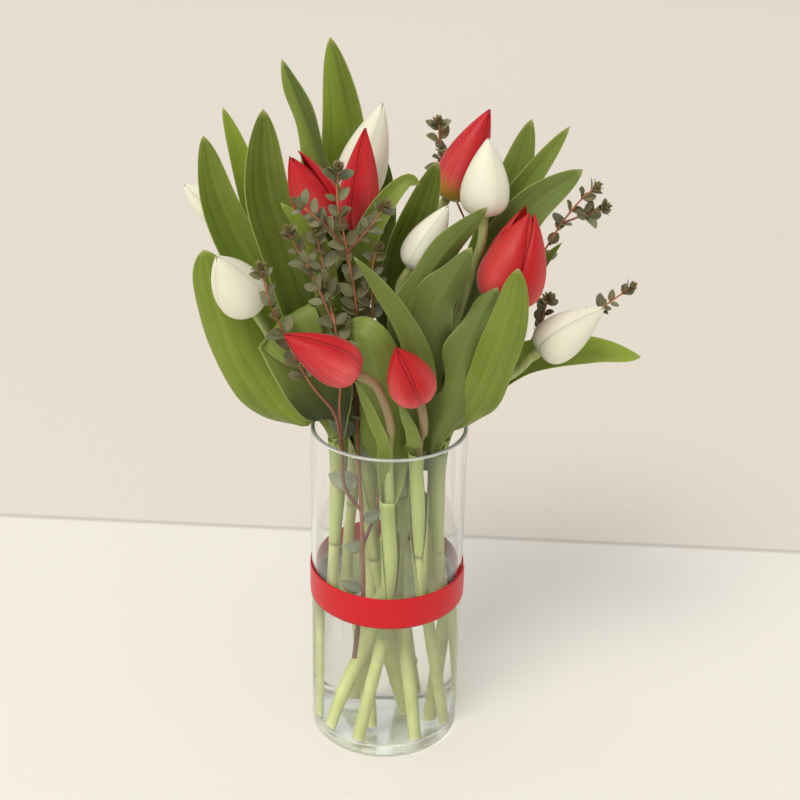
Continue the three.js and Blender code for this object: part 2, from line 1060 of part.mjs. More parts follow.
function spraySolid(spray, seed) {
  const random = chance(seed);
  const parts = [];
  for (const twig of spray.twigs) {
    const steps = Math.max(3, Math.round(1.5 * twig.path.length));
    const along = stops(twig.path.map(vec), FRONT, steps);
    parts.push(tube(along.map((f, i) => ring(f, twigRadius(twig, i / steps), 3))));
    const fine = frames(line(twig.path.map(vec), 100), FRONT);
    for (let i = 0; i < twig.pairs; i++) {
      const s = twig.from + ((1 - twig.from) * (i + 0.6)) / twig.pairs;
      const f = fine[Math.round(s * 100)];
      const turn = (i % 2) * 0.5 * Math.PI + 0.5 * random() + 0.4;
      for (let k = 0; k < 2; k++) {
        const a = turn + k * Math.PI;
        const out = f.normal.clone().multiplyScalar(Math.cos(a)).addScaledVector(f.side, Math.sin(a));
        const lift = 0.75 + 0.5 * random();
        const direction = f.tangent.clone().multiplyScalar(Math.cos(lift));
        direction.addScaledVector(out, Math.sin(lift)).normalize();
        const size = twig.leaf * (1.15 - 0.5 * s) * (0.8 + 0.4 * random());
        parts.push(leaflet(f.at, direction, f.tangent, size, size * 0.55));
      }
    }
    const end = fine[100];
    for (let k = 0; k < 3; k++) {
      const a = (2 * Math.PI * k) / 3 + random();
      const direction = end.tangent.clone().addScaledVector(end.normal, 0.45 * Math.cos(a));
      direction.addScaledVector(end.side, 0.45 * Math.sin(a)).normalize();
      const root = end.at.clone().addScaledVector(end.tangent, -1);
      parts.push(leaflet(root, direction, end.normal, 0.7 * twig.leaf, 0.35 * twig.leaf));
    }
  }
  return fuse(parts);
}

// --- vase, water and ribbon
function lathe(profile) {
  const points = profile.map((p) => new THREE.Vector2(p[0], p[1]));
  const geometry = new THREE.LatheGeometry(points, VASE_SIDES);
  geometry.rotateX(Math.PI / 2);
  return toSolid(geometry);
}

function vaseSolid() {
  const inner = VASE_RADIUS - VASE_WALL;
  return lathe([
    [0, 0],
    [VASE_RADIUS - 2, 0],
    [VASE_RADIUS, 2],
    [VASE_RADIUS, VASE_HEIGHT - 1],
    [VASE_RADIUS - 1, VASE_HEIGHT],
    [inner + 1, VASE_HEIGHT],
    [inner, VASE_HEIGHT - 1],
    [inner, VASE_FLOOR],
    [0, VASE_FLOOR],
  ]);
}

function waterSolid() {
  const radius = VASE_RADIUS - VASE_WALL - GAP;
  const low = VASE_FLOOR + GAP;
  let water = lathe([
    [0, low],
    [radius, low],
    [radius, WATER_TOP],
    [0, WATER_TOP],
  ]);
  for (const tulip of TULIPS) {
    const rings = stemRings(stemLine(tulip), STEM_STEPS, GAP);
    const down = rings[0][0].clone().sub(rings[1][0]).setLength(6);
    rings[0] = rings[0].map((p) => p.add(down));
    water = water.subtract(tube(rings));
  }
  for (const spray of SPRAYS) {
    const main = spray.twigs[0];
    const points = main.path.slice(0, 4).map(vec);
    const back = points[0].clone().sub(points[1]).setLength(GAP);
    points[0].add(back);
    const along = stops(points, FRONT, 6);
    water = water.subtract(tube(along.map((f) => ring(f, main.radii[0] + 2 * GAP, 6))));
  }
  return water;
}

// A strip of ribbon laid round the glass, its last end lapped over the first.
function ribbonSolid() {
  const steps = 40;
  const lap = THREE.MathUtils.degToRad(14);
  const start = THREE.MathUtils.degToRad(RIBBON_SEAM);
  const rings = [];
  for (let i = 0; i <= steps; i++) {
    const turn = ((2 * Math.PI + lap) * i) / steps;
    const lift = (RIBBON_THICK + GAP) * ease((turn - 2 * Math.PI + 3 * lap) / (2.6 * lap));
    const r = VASE_RADIUS + GAP + lift;
    const a = start + turn;
    const at = (radius, z) => new THREE.Vector3(radius * Math.cos(a), radius * Math.sin(a), z);
    rings.push([
      at(r, RIBBON_LOW),
      at(r, RIBBON_LOW + RIBBON_WIDTH),
      at(r + RIBBON_THICK, RIBBON_LOW + RIBBON_WIDTH),
      at(r + RIBBON_THICK, RIBBON_LOW),
    ]);
  }
  return tube(rings);
}

// --- the whole bunch
const group = new THREE.Group();
group.name = 'tulips_in_a_vase';

function place(name, solid, look) {
  const settings = LOOKS[look];
  const material = new THREE.MeshStandardMaterial(settings);
  material.name = look;
  const mesh = new THREE.Mesh(toGeometry(solid), material);
  mesh.name = name;
  group.add(mesh);
}

place('vase', vaseSolid(), 'glass');
place('water', waterSolid(), 'water');
place('ribbon', ribbonSolid(), 'ribbon');
for (const tulip of TULIPS) {
  place(`${tulip.name}_leafy_stem`, leafyStemSolid(tulip), 'green');
  place(`${tulip.name}_bloom`, bloomSolid(tulip), tulip.colour);
}
SPRAYS.forEach((spray, i) => place(spray.name, spraySolid(spray, 71 + i), 'eucalyptus'));

export default group;
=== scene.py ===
import math

import bpy
import numpy as np
from mathutils import Matrix, Vector


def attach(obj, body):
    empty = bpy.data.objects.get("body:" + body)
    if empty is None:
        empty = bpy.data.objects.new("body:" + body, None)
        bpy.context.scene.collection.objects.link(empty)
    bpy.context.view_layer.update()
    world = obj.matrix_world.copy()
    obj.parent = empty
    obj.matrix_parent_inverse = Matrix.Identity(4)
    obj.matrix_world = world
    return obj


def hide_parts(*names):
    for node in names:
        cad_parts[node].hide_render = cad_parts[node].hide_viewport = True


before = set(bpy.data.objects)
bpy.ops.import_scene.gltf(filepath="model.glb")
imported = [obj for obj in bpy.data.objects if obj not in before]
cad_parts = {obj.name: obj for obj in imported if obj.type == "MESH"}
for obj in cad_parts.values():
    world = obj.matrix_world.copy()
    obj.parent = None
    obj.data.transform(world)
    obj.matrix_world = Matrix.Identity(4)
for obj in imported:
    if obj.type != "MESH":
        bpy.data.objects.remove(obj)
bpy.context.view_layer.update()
scene = bpy.context.scene
MM = 0.001

# Twelve tulips and two eucalyptus sprays in a straight glass vase. Lengths in the table and in the
# shape functions are millimetres, in the frame of the part; meshes are made in metres.

# --- driving dimensions
VASE_RADIUS = 55.0
VASE_HEIGHT = 250.0
VASE_WALL = 3.0
VASE_FLOOR = 8.0
VASE_SIDES = 128
FOOT_ROUND = 3.5
INNER_ROUND = 5
WATER_TOP = 127.0
WATER_OVERLAP = 0.15
RIBBON_LOW = 116.0
RIBBON_WIDTH = 25.0
RIBBON_THICK = 0.7
RIBBON_SEAM = -22.0
RIBBON_LAP = 14
GAP = 0.3
STEM_FOOT = 9.8
STEM_WAIST = 130.0
STEM_RIM = 245.0
STEM_RADIUS_LOW = 4.4
STEM_RADIUS_TOP = 3.1
STEM_SIDES = 18
STEM_RINGS = 90
STEM_STEPS = 200
BLOOM_SEAT = 1.0
BLOOM_OVERLAP = 1.6
PETAL_THICK = 1.1
PETAL_SPREAD = 1.34
PETAL_CROWD = 0.3
LEAF_THICK = 0.8
LEAF_CREASE = 0.35
LEAF_CROWD = 0.35
LEAF_STEPS = 96
LEAF_START = 25
LEAF_BITE = 1.6
LEAF_CLEAR = 1.4
SHEATH_THICK = 0.6
SHEATH_BELOW = 62
SHEATH_ABOVE = 22
TWIG_SIDES = 8
TWIG_STEPS = 100
LEAF_STALK = 1.2
TUFT_LEAVES = 9
LOW_LEAF_REACH = 47.0

# Rows from foot to tip and columns from edge to edge of each thin blade.
LEAF_GRID = (64, 18)
PETAL_GRID = (36, 22)
SHEATH_GRID = (24, 20)
RIBBON_GRID = (180, 8)

# Which way the inner face of a leaf looks.
TO_FRONT = (0.0, -0.9, 0.43)
TO_BACK = (0.0, 0.9, -0.43)
TO_SKY = (-0.1, -0.45, 0.9)

# --- the camera, at the height and angle of the photograph
CAMERA_LENS = 63.0
CAMERA_AWAY = 967.94 * MM
LOOK_DOWN = math.radians(25.57)
CAMERA_ROLL = math.radians(1.28)
AIM_RIGHT = 0.00696
AIM_HEIGHT = 0.26809


def set_camera():
    camera = bpy.data.cameras.new("photo_camera")
    camera.sensor_width = 36.0
    camera.lens = CAMERA_LENS
    camera.clip_start = 0.05
    camera.clip_end = 50.0
    camera.dof.use_dof = False
    holder = bpy.data.objects.new("photo_camera", camera)
    scene.collection.objects.link(holder)
    back = CAMERA_AWAY * math.cos(LOOK_DOWN)
    place = Vector((AIM_RIGHT, -back, AIM_HEIGHT + CAMERA_AWAY * math.sin(LOOK_DOWN)))
    forward = Vector((0.0, math.cos(LOOK_DOWN), -math.sin(LOOK_DOWN)))
    level = Vector((1.0, 0.0, 0.0))
    upright = level.cross(forward)
    right = level * math.cos(CAMERA_ROLL) + upright * math.sin(CAMERA_ROLL)
    up = upright * math.cos(CAMERA_ROLL) - level * math.sin(CAMERA_ROLL)
    rows = [(right[i], up[i], -forward[i], place[i]) for i in range(3)]
    holder.matrix_world = Matrix(rows + [(0.0, 0.0, 0.0, 1.0)])
    scene.camera = holder


set_camera()


# --- the design table
def flower(**values):
    """A tulip: its stem from foot to neck, its bloom from base to tip, its looks and its leaves."""
    plain = dict(open=0, spin=0, lean=(0, 0, 0, 0, 0, 0), groove=0.0)
    looks = dict(blush=0.0, yellow=0.0, orange=0.0, brown=0.0)
    return {**plain, **looks, **values}


def blade(**values):
    """A leaf: height and side of the stem where it opens, width, looks and its middle line."""
    plain = dict(face=TO_FRONT, tip=6, wave=(0.6, 1.5, 0), keel=0.0, ruffle=0.0)
    # Of the looks, deep is painted shade on the lower part of a leaf that stands in the bunch, and
    # lit_half is painted light on one half of it.
    looks = dict(tone=0.0, grey=0.0, deep=0.0, lit_half=0.0)
    return {**plain, **looks, **values}


TULIPS = [
    flower(
        name="tulip_01", colour="white", foot=(-32, 26), waist=(-30, 19), rim=(-29, 24),
        neck=[(-93, 54, 295)], base=(-118, 66, 376), tip=(-147, 72, 396), width=23, open=0.05,
        leaves=[
            blade(
                at=236, side=60, width=33, round=24, wave=(1, 1.5, 0), tone=0.35, grey=0.1, deep=0.4,
                path=[
                    (-62, 45, 285), (-84, 50, 314), (-104, 50, 354), (-120, 50, 393), (-129, 48, 438),
                ],
            ),
            blade(
                at=236, side=330, width=22, round=20, wave=(0.5, 1.5, 0), tone=1.0, deep=0.6,
                path=[(-63, 60, 295), (-84, 68, 338), (-99, 74, 386), (-109, 76, 421), (-119, 78, 450)],
            ),
        ],
    ),
    flower(
        name="tulip_02", colour="red", foot=(12, 8), waist=(-8, 2), rim=(-21, 6), neck=[(-45, 12, 336)],
        base=(-44, 14, 390), tip=(-67, 10, 436), width=30, open=0.1, spin=20,
        lean=(0.1, 0, 0, 0, 0.08, 0), blush=0.2, groove=0.8,
        leaves=[
            blade(
                at=200, side=150, width=37, tip=7, round=34, tone=-0.25, grey=0.05, deep=0.7,
                path=[(-42, 12, 277), (-57, 18, 323), (-72, 26, 366), (-85, 32, 406), (-87, 36, 460)],
            ),
            blade(
                at=225, side=250, width=20, face=TO_BACK, tip=5.5, round=16, wave=(1.2, 2.5, 0),
                tone=0.8, grey=0.1, deep=0.3,
                path=[
                    (-39, -5, 311), (-42, -8, 348), (-49, -10, 382), (-59, -11, 397), (-72, -13, 412),
                ],
            ),
        ],
    ),
    flower(
        name="tulip_03", colour="white", foot=(8, 42), waist=(2, 37), rim=(-8, 36),
        neck=[(-34, 50, 329)], base=(-28, 52, 397), tip=(-9, 54, 461), width=33, open=0.03, spin=40,
        leaves=[
            blade(
                at=215, side=90, width=37, round=34, tone=0.2, grey=0.1, lit_half=0.35, keel=0.3,
                deep=0.8,
                path=[(-27, 50, 283), (-32, 64, 331), (-35, 74, 387), (-36, 76, 444), (-45, 74, 500)],
            ),
            blade(
                at=215, side=180, width=26, round=13, wave=(3.4, 2, 0.4), tone=-0.5, grey=0.3,
                keel=0.35, ruffle=0.3, lit_half=0.55, deep=1.0,
                path=[(-34, 36, 304), (-38, 36, 371), (-51, 40, 422), (-63, 42, 458), (-75, 44, 491)],
            ),
        ],
    ),
    flower(
        name="tulip_04", colour="red", foot=(-8, -16), waist=(-13, 17), rim=(-6, 20),
        neck=[(-27, 12, 337)], base=(-24, 8, 388), tip=(-19, 8, 456), width=27, spin=10, blush=0.4,
        groove=1.0,
        leaves=[
            blade(
                at=200, side=270, width=24, face=TO_SKY, tip=7, round=9, wave=(1, 1.5, 0), tone=1.0,
                grey=0.35,
                path=[
                    (-23, 8, 316), (-22, 6, 350), (-18, 0, 385), (-5, -10, 414), (8, -8, 427),
                    (17, -2, 423),
                ],
            ),
        ],
    ),
    flower(
        name="tulip_05", colour="white", foot=(-42, -12), waist=(-39, -8), rim=(-36, -8),
        neck=[(-60, -24, 285)], base=(-92, -26, 346), tip=(-109, -50, 388), width=33, open=0.06,
        leaves=[
            blade(
                at=218, side=190, width=42, face=(0.25, 0.93, -0.2), tip=10, round=34, wave=(1, 1.5, 0),
                tone=0.35,
                path=[
                    (-50, -10, 258), (-59, -14, 254), (-78, -14, 267), (-100, -11, 300),
                    (-115, -8, 342), (-124, -4, 376),
                ],
            ),
            blade(
                at=222, side=340, width=48, tip=13, round=70, tone=0.5, grey=0.35, deep=0.9,
                path=[
                    (-39, -26, 266), (-47, -27, 288), (-57, -28, 311), (-65, -30, 331), (-70, -33, 339),
                    (-68, -39, 339), (-61, -42, 327), (-53, -42, 311),
                ],
            ),
        ],
    ),
    flower(
        name="tulip_06", colour="red", foot=(-17, -41), waist=(2, -36), rim=(0, -42),
        neck=[(1, -50, 274), (-7, -60, 304)], base=(-21, -65, 317), tip=(-66, -71, 345), width=31,
        spin=30, blush=0.85, brown=1.0, groove=1.0,
        leaves=[
            blade(
                at=160, side=110, width=35, face=TO_BACK, tip=9, round=24, wave=(0.5, 1.5, 0), tone=1.0,
                grey=0.45, deep=0.15,
                path=[
                    (-3, -32, 253), (-4, -35, 281), (-8, -38, 311), (-15, -39, 329), (-24, -33, 332),
                    (-33, -25, 323),
                ],
            ),
            blade(
                at=190, side=200, width=9, tip=5.5, round=8, wave=(0.3, 1.5, 0), tone=0.9, grey=0.4,
                path=[(-3, -48, 255), (-10, -53, 279), (-16, -57, 296), (-22, -60, 310)],
            ),
        ],
    ),
    flower(
        name="tulip_07", colour="red", foot=(40, -18), waist=(25, -30), rim=(20, -38),
        neck=[(23, -44, 266), (22, -52, 283)], base=(18, -54, 297), tip=(4, -76, 340), width=31,
        spin=50, blush=1.2, brown=1.0, groove=1.0,
        leaves=[
            blade(
                at=190, side=75, width=26, face=TO_BACK, tip=2.5, round=18, wave=(1.6, 2, 0.5),
                tone=0.15, grey=0.4, ruffle=0.06, deep=0.2,
                path=[
                    (22, -24, 256), (21, -36, 293), (15, -44, 327), (5, -46, 351), (-8, -46, 369),
                    (-24, -47, 389),
                ],
            ),
            blade(
                at=225, side=200, width=11, face=TO_BACK, tip=3, round=16, wave=(0.3, 1.5, 0), tone=0.6,
                grey=0.5,
                path=[(17, -50, 258), (15, -52, 270), (10, -54, 283), (6, -54, 295)],
            ),
        ],
    ),
    flower(
        name="tulip_08", colour="white", foot=(22, -39), waist=(8, -18), rim=(8, -14),
        neck=[(11, -6, 323)], base=(13, -4, 367), tip=(35, -2, 409), width=26, spin=15,
        leaves=[
            blade(
                at=190, side=90, width=32, tip=7, round=24, wave=(0.5, 1.5, 0), tone=-0.35, deep=0.9,
                path=[(14, 8, 280), (4, 14, 329), (9, 17, 372), (20, 17, 407), (28, 17, 433)],
            ),
            blade(
                at=210, side=230, width=27, face=TO_BACK, round=18, wave=(0.8, 1.5, 0), tone=-0.1,
                grey=0.35, ruffle=0.1, deep=0.7,
                path=[(15, -18, 299), (12, -22, 337), (27, -24, 374), (43, -26, 398), (59, -28, 417)],
            ),
            blade(
                at=180, side=330, width=33, face=TO_BACK, round=24, wave=(2.4, 2, 2.6), tone=-0.05,
                grey=0.5, keel=0.1, ruffle=0.2, deep=0.5,
                path=[(22, -15, 276), (25, -24, 317), (29, -32, 350), (40, -34, 374), (50, -36, 393)],
            ),
        ],
    ),
    flower(
        name="tulip_09", colour="red", foot=(-14, 34), waist=(6, 26), rim=(13, 37),
        neck=[(31, 44, 348)], base=(36, 48, 399), tip=(62, 48, 460), width=31, open=0.02, spin=60,
        blush=0.6, yellow=0.85, groove=0.5,
        leaves=[
            blade(
                at=200, side=20, width=31, tip=7, round=40, tone=0.35, grey=0.3, deep=0.8,
                path=[(37, 43, 272), (57, 46, 333), (71, 50, 374), (82, 52, 415), (91, 54, 453)],
            ),
            blade(
                at=200, side=150, width=22, tip=8, round=16, wave=(0.8, 1.5, 0), tone=-0.3, grey=0.2,
                deep=0.9,
                path=[(17, 42, 272), (-1, 48, 309), (-8, 60, 348), (-7, 70, 386), (-7, 72, 419)],
            ),
        ],
    ),
    flower(
        name="tulip_10", colour="white", foot=(-36, -27), waist=(4, -4), rim=(25, 20),
        neck=[(52, 14, 352)], base=(59, 9, 400), tip=(60, 12, 450), width=32, spin=5,
        leaves=[
            blade(
                at=200, side=80, width=23, round=14, wave=(0.4, 1.5, 0), tone=0.4, grey=0.25, deep=0.8,
                path=[(46, 28, 271), (58, 32, 331), (72, 36, 386), (91, 38, 417), (115, 40, 452)],
            ),
            blade(
                at=215, side=0, width=34, tip=7, round=24, tone=0.1, grey=0.45, deep=0.8,
                path=[(52, 18, 272), (60, 20, 319), (70, 22, 366), (90, 24, 400), (124, 26, 427)],
            ),
        ],
    ),
    flower(
        name="tulip_11", colour="red", foot=(43, 6), waist=(38, -8), rim=(35, -14),
        neck=[(63, -12, 312)], base=(73, -12, 346), tip=(89, -8, 407), width=43, open=0.12, spin=25,
        lean=(0, 0, 0, 0, 0.24, 0.1), blush=0.1, orange=0.5, groove=0.9,
        leaves=[
            blade(
                at=225, side=320, width=28, face=TO_BACK, tip=8, round=36, tone=0.35, grey=0.15,
                keel=0.1, ruffle=0.03,
                path=[(50, -30, 265), (59, -44, 290), (69, -50, 326), (76, -50, 357), (79, -48, 384)],
            ),
            blade(
                at=215, side=235, width=28, face=TO_BACK, round=18, wave=(3.6, 2, 1.2), grey=0.45,
                keel=0.1, ruffle=0.32, deep=0.1,
                path=[
                    (28, -32, 245), (32, -40, 267), (39, -43, 288), (44, -41, 305), (50, -38, 325),
                    (57, -37, 346), (68, -35, 366),
                ],
            ),
        ],
    ),
    flower(
        name="tulip_12", colour="white", foot=(26, -8), waist=(32, 9), rim=(39, 6),
        neck=[(85, -6, 294)], base=(100, -8, 310), tip=(142, 0, 340), width=31, open=0.03,
        leaves=[
            blade(
                at=222, side=330, width=30, face=TO_SKY, round=26, tone=1.2,
                path=[
                    (57, 4, 258), (71, 8, 277), (88, 12, 292), (111, 12, 299), (141, 17, 300),
                    (174, 22, 295),
                ],
            ),
            blade(
                at=225, side=330, width=12, tip=5.5, round=12, wave=(0.3, 1.5, 0), tone=-0.4, grey=0.1,
                deep=0.5,
                path=[(61, 10, 268), (75, 16, 304), (90, 18, 341), (102, 18, 365), (113, 18, 379)],
            ),
        ],
    ),
]

SPRAYS = [
    dict(
        name="eucalyptus_spray_a",
        twigs=[
            dict(
                radii=(1.7, 0.8), pairs=8, leaf=18, start=0.5,
                path=[
                    (-20, -38, 81), (-16, -34, 129), (-17, -31, 167), (-18, -28, 196), (-21, -22, 240),
                    (-22, -18, 281), (-23, -18, 342), (-29, -20, 382), (-35, -24, 415), (-35, -26, 439),
                ],
            ),
            dict(
                radii=(1.3, 0.8), pairs=5, leaf=18, start=0.56,
                path=[
                    (-18, -28, 196), (-29, -31, 216), (-31, -35, 245), (-33, -41, 279), (-32, -44, 308),
                    (-36, -41, 339), (-43, -24, 367), (-49, -22, 396),
                ],
            ),
            dict(
                radii=(1.1, 0.7), pairs=4, leaf=15, start=0.45,
                path=[
                    (-31, -35, 245), (-36, -43, 277), (-48, -51, 298), (-58, -54, 317), (-68, -53, 339),
                    (-75, -57, 359), (-81, -62, 386),
                ],
            ),
            dict(
                radii=(1, 0.7), pairs=3, leaf=15, start=0.2,
                path=[(-36, -41, 339), (-51, -26, 368), (-61, -20, 383), (-67, -20, 396)],
            ),
            dict(
                radii=(1.2, 0.7), pairs=4, leaf=16, start=0.6,
                path=[
                    (-17, -31, 167), (-7, -16, 197), (-5, -12, 235), (-8, -10, 273), (-12, -12, 325),
                    (-13, -20, 369), (-9, -22, 386),
                ],
            ),
            dict(
                radii=(0.9, 0.7), pairs=2, leaf=15, start=0.3,
                path=[(-29, -20, 382), (-14, -26, 402), (-5, -28, 417)],
            ),
            dict(
                radii=(0.9, 0.7), pairs=2, leaf=15, start=0.35,
                path=[(-29, -20, 382), (-41, -25, 400), (-52, -27, 410), (-61, -26, 417)],
            ),
        ],
    ),
    dict(
        name="eucalyptus_spray_b",
        twigs=[
            dict(
                radii=(1.5, 0.8), pairs=6, leaf=18, start=0.6,
                path=[
                    (41, 12, 62), (40, 22, 130), (37, 28, 190), (35, 30, 240), (43, 34, 268),
                    (76, 31, 305), (94, 29, 351), (105, 28, 374), (113, 28, 389), (124, 30, 404),
                    (134, 32, 413),
                ],
            ),
            dict(
                radii=(0.9, 0.7), pairs=2, leaf=15, start=0.3,
                path=[(113, 28, 389), (130, 26, 397), (141, 25, 402)],
            ),
            dict(
                radii=(1.1, 0.7), pairs=4, leaf=15, start=0.45,
                path=[
                    (43, 34, 268), (77, 32, 277), (97, 32, 298), (121, 30, 312), (143, 25, 329),
                    (163, 22, 347),
                ],
            ),
            dict(
                radii=(0.9, 0.7), pairs=2, leaf=14, start=0.3,
                path=[(97, 32, 298), (103, 24, 319), (107, 22, 338)],
            ),
            dict(
                radii=(1, 0.7), pairs=3, leaf=16, start=0.75,
                path=[
                    (76, 31, 305), (82, 46, 317), (73, 62, 335), (50, 70, 376), (33, 70, 415),
                    (29, 68, 446),
                ],
            ),
        ],
    ),
]
# --- end of the table


# --- lines and surfaces
def ease(x):
    c = np.clip(x, 0.0, 1.0)
    return c * c * (3.0 - 2.0 * c)


def unit(v):
    v = np.asarray(v, float)
    return v / max(1e-9, float(np.linalg.norm(v)))


def level_direction(degrees):
    turn = math.radians(degrees)
    return np.array([math.cos(turn), math.sin(turn), 0.0])


def grid_of(s, t):
    """Two sets of numbers, spread to one grid."""
    return np.broadcast_arrays(np.asarray(s, float), np.asarray(t, float))


def smooth_line(points, steps):
    """Equally spaced points on a smooth line through the given ones."""
    p = np.asarray(points, float)
    p = np.vstack([2 * p[0] - p[1], p, 2 * p[-1] - p[-2]])
    t = (np.arange(24) / 24.0)[:, None]
    dense = []
    for i in range(1, len(p) - 2):
        a, b, c, d = p[i - 1], p[i], p[i + 1], p[i + 2]
        spline = 2 * b + (c - a) * t + (2 * a - 5 * b + 4 * c - d) * t**2
        dense.append(0.5 * (spline + (3 * b - a - 3 * c + d) * t**3))
    dense = np.vstack(dense + [p[-2][None, :]])
    along = np.concatenate([[0.0], np.cumsum(np.linalg.norm(np.diff(dense, axis=0), axis=1))])
    want = np.linspace(0.0, along[-1], steps + 1)
    return np.stack([np.interp(want, along, dense[:, k]) for k in range(3)], axis=1)


def line_frames(points, start):
    """Tangent, normal and side at each point, carried along the line without twist."""
    n = len(points)
    tangents = np.zeros((n, 3))
    normals = np.zeros((n, 3))
    normal = np.asarray(start, float)
    for i in range(n):
        tangents[i] = unit(points[min(n - 1, i + 1)] - points[max(0, i - 1)])
        normal = unit(normal - tangents[i] * float(normal @ tangents[i]))
        normals[i] = normal
    return tangents, normals, np.cross(tangents, normals)


def at_share(values, share):
    """The values of a line, read at shares 0..1 of its length."""
    x = np.clip(np.asarray(share, float), 0.0, 1.0) * (len(values) - 1)
    k = np.minimum(x.astype(int), len(values) - 2)
    f = (x - k)[..., None]
    return values[k] * (1 - f) + values[k + 1] * f


def stem_points(tulip):
    """The corners of a stem's middle line, from its cut foot to its seat in the bloom."""
    base = np.array(tulip["base"], float)
    axis = unit(np.array(tulip["tip"], float) - base)
    last = np.array(tulip["neck"][-1], float)
    points = [
        (*tulip["foot"], STEM_FOOT),
        (*tulip["waist"], STEM_WAIST),
        (*tulip["rim"], STEM_RIM),
        *tulip["neck"],
        base - 0.4 * np.linalg.norm(base - last) * axis,
        base - BLOOM_SEAT * axis,
    ]
    return np.array([np.array(p, float) for p in points])


def stem_at(tulip, height):
    line = smooth_line(stem_points(tulip), STEM_STEPS)
    above = np.nonzero(line[:, 2] >= height)[0]
    return line[above[0]] if len(above) else line[-1]


def leaf_width(s, tip):
    """Share of the full width: narrower at the foot, and the larger tip is, the rounder the end."""
    low = 0.34 + 0.66 * ease(s / 0.5)
    return np.maximum(0.01, low * np.maximum(0.0, 1.0 - s**tip) ** 0.75)


def leaf_surface(tulip, leaf):
    """A leaf's middle surface: s runs from its foot to its tip, t from edge to edge."""
    out = level_direction(leaf["side"])
    foot = stem_at(tulip, leaf["at"]) + out * (STEM_RADIUS_LOW - LEAF_BITE)
    after = stem_at(tulip, leaf["at"] + LEAF_START) + out * (STEM_RADIUS_LOW + LEAF_CLEAR)
    points = smooth_line([foot, after, *leaf["path"]], LEAF_STEPS)
    _, normals, sides = line_frames(points, -out)
    face = np.array(leaf["face"])
    half_way = LEAF_STEPS // 2
    twist = math.atan2(float(face @ sides[half_way]), float(face @ normals[half_way]))
    wave, count, phase = leaf["wave"]
    ruffle = leaf["ruffle"]
    seed = leaf["at"] + leaf["side"]

    def surface(s, t):
        s, t = grid_of(s, t)
        at = at_share(points, s)
        n0 = at_share(normals, s)
        b0 = at_share(sides, s)
        angle = (twist * ease(s / 0.5))[..., None]
        normal = n0 * np.cos(angle) + b0 * np.sin(angle)
        side = b0 * np.cos(angle) - n0 * np.sin(angle)
        # The cross section is an arc: tight round the stem at the foot, open further on.
        opening = ease(s / 0.4)
        half = 0.5 * leaf["width"] * leaf_width(s, leaf["tip"])
        bend = (1 - opening) / (STEM_RADIUS_LOW + LEAF_CLEAR) + opening / leaf["round"]
        whole = np.minimum(1.5, half * bend)
        reach = half / whole
        roll = whole * t
        across = reach * np.sin(roll)
        lift = reach * (1 - np.cos(roll))
        # The two edges wave out of step, and neither the foot nor the tip waves.
        shift = np.where(t > 0, 1.3, 0.0)
        free = ease(s / 0.3) * ease((1 - s) / 0.15)
        beat = 2 * math.pi * count * s + phase + shift
        ripple = 1.25 * wave * t * t * np.sin(beat + 0.5 * np.sin(beat))
        fine = 0.35 * t**4 * np.sin(2 * math.pi * 4.7 * s + seed + 2.1 * shift)
        fold = -LEAF_CREASE * opening * half * 0.2 * np.exp(-((t / 0.16) ** 2))
        fold = fold + leaf["keel"] * opening * half * (np.sqrt(t * t + 0.02) - 0.14)
        curls = 2 * math.pi * 3.3 * s + seed + 1.5 * shift
        sway = 0.045 * wave * np.sin(beat + 1.1) + ruffle * np.sin(curls)
        across = across * (1 + sway * np.abs(t) * free)
        ripple = ripple + 9.0 * ruffle * t * t * np.sin(curls + 1.0)
        lift = lift + (ripple + fine) * free + fold
        return at + side * across[..., None] + normal * lift[..., None]

    return surface


def bulge(s, opening):
    """A bloom's radius along its axis, as a share of its half width."""
    q = 1 - s
    low = 0.2 * q**3 + 4.35 * q * q * s
    return low + 3 * (1.05 + opening) * q * s * s + (0.02 + max(0.0, opening - 0.06)) * s**3


def rise(s):
    """Height along a bloom's axis, as a share of its length."""
    q = 1 - s
    return 0.06 * q * q * s + 1.65 * q * s * s + s**3


def petal_surface(tulip, index):
    """A petal's middle surface: s runs from base to tip, t from edge to edge."""
    base = np.array(tulip["base"], float)
    reach = np.array(tulip["tip"], float) - base
    length = float(np.linalg.norm(reach))
    axis = reach / length
    u = unit(np.array([0.0, 0.0, 1.0]) - axis * axis[2])
    v = np.cross(axis, u)
    inner = index % 2
    opening = tulip["open"]
    groove = tulip["groove"]
    radius = 0.5 * tulip["width"] * (0.90 - 0.10 * groove if inner else 1.0)
    height = length * (0.97 if inner else 1.0)
    middle = math.radians(tulip["spin"] + 60 * index)
    spread = 1.0 if inner else PETAL_SPREAD - 0.25 * groove
    taper = 22.0 - 15.0 * groove - 20.0 * opening * (1 - groove)
    lean = tulip["lean"][index]
    lean_out = u * math.cos(middle) + v * math.sin(middle)

    def surface(s, t):
        s, t = grid_of(s, t)
        rib = 1 + 0.02 * np.exp(-((t / 0.1) ** 2)) * ease(3 * s)
        # The edges tuck in, and a grooved bloom's edges meet in one line, which the petal finish darkens
        # with painted shade.
        tuck = 0.03 * t * t + 0.26 * groove * t**8 + (0.05 - 0.05 * groove) * t * np.abs(t)
        r = radius * bulge(s, opening) * (1 - tuck * ease(4 * s)) * rib
        swing = length * lean * s * s
        a = spread * t * np.maximum(0.002, 1 - s**taper) ** 0.62
        z = height * rise(s)
        out = u * np.cos(middle + a)[..., None] + v * np.sin(middle + a)[..., None]
        return base + axis * z[..., None] + out * r[..., None] + lean_out * swing[..., None]

    return surface


def stem_radius(s):
    return STEM_RADIUS_LOW + (STEM_RADIUS_TOP - STEM_RADIUS_LOW) * ease(s)


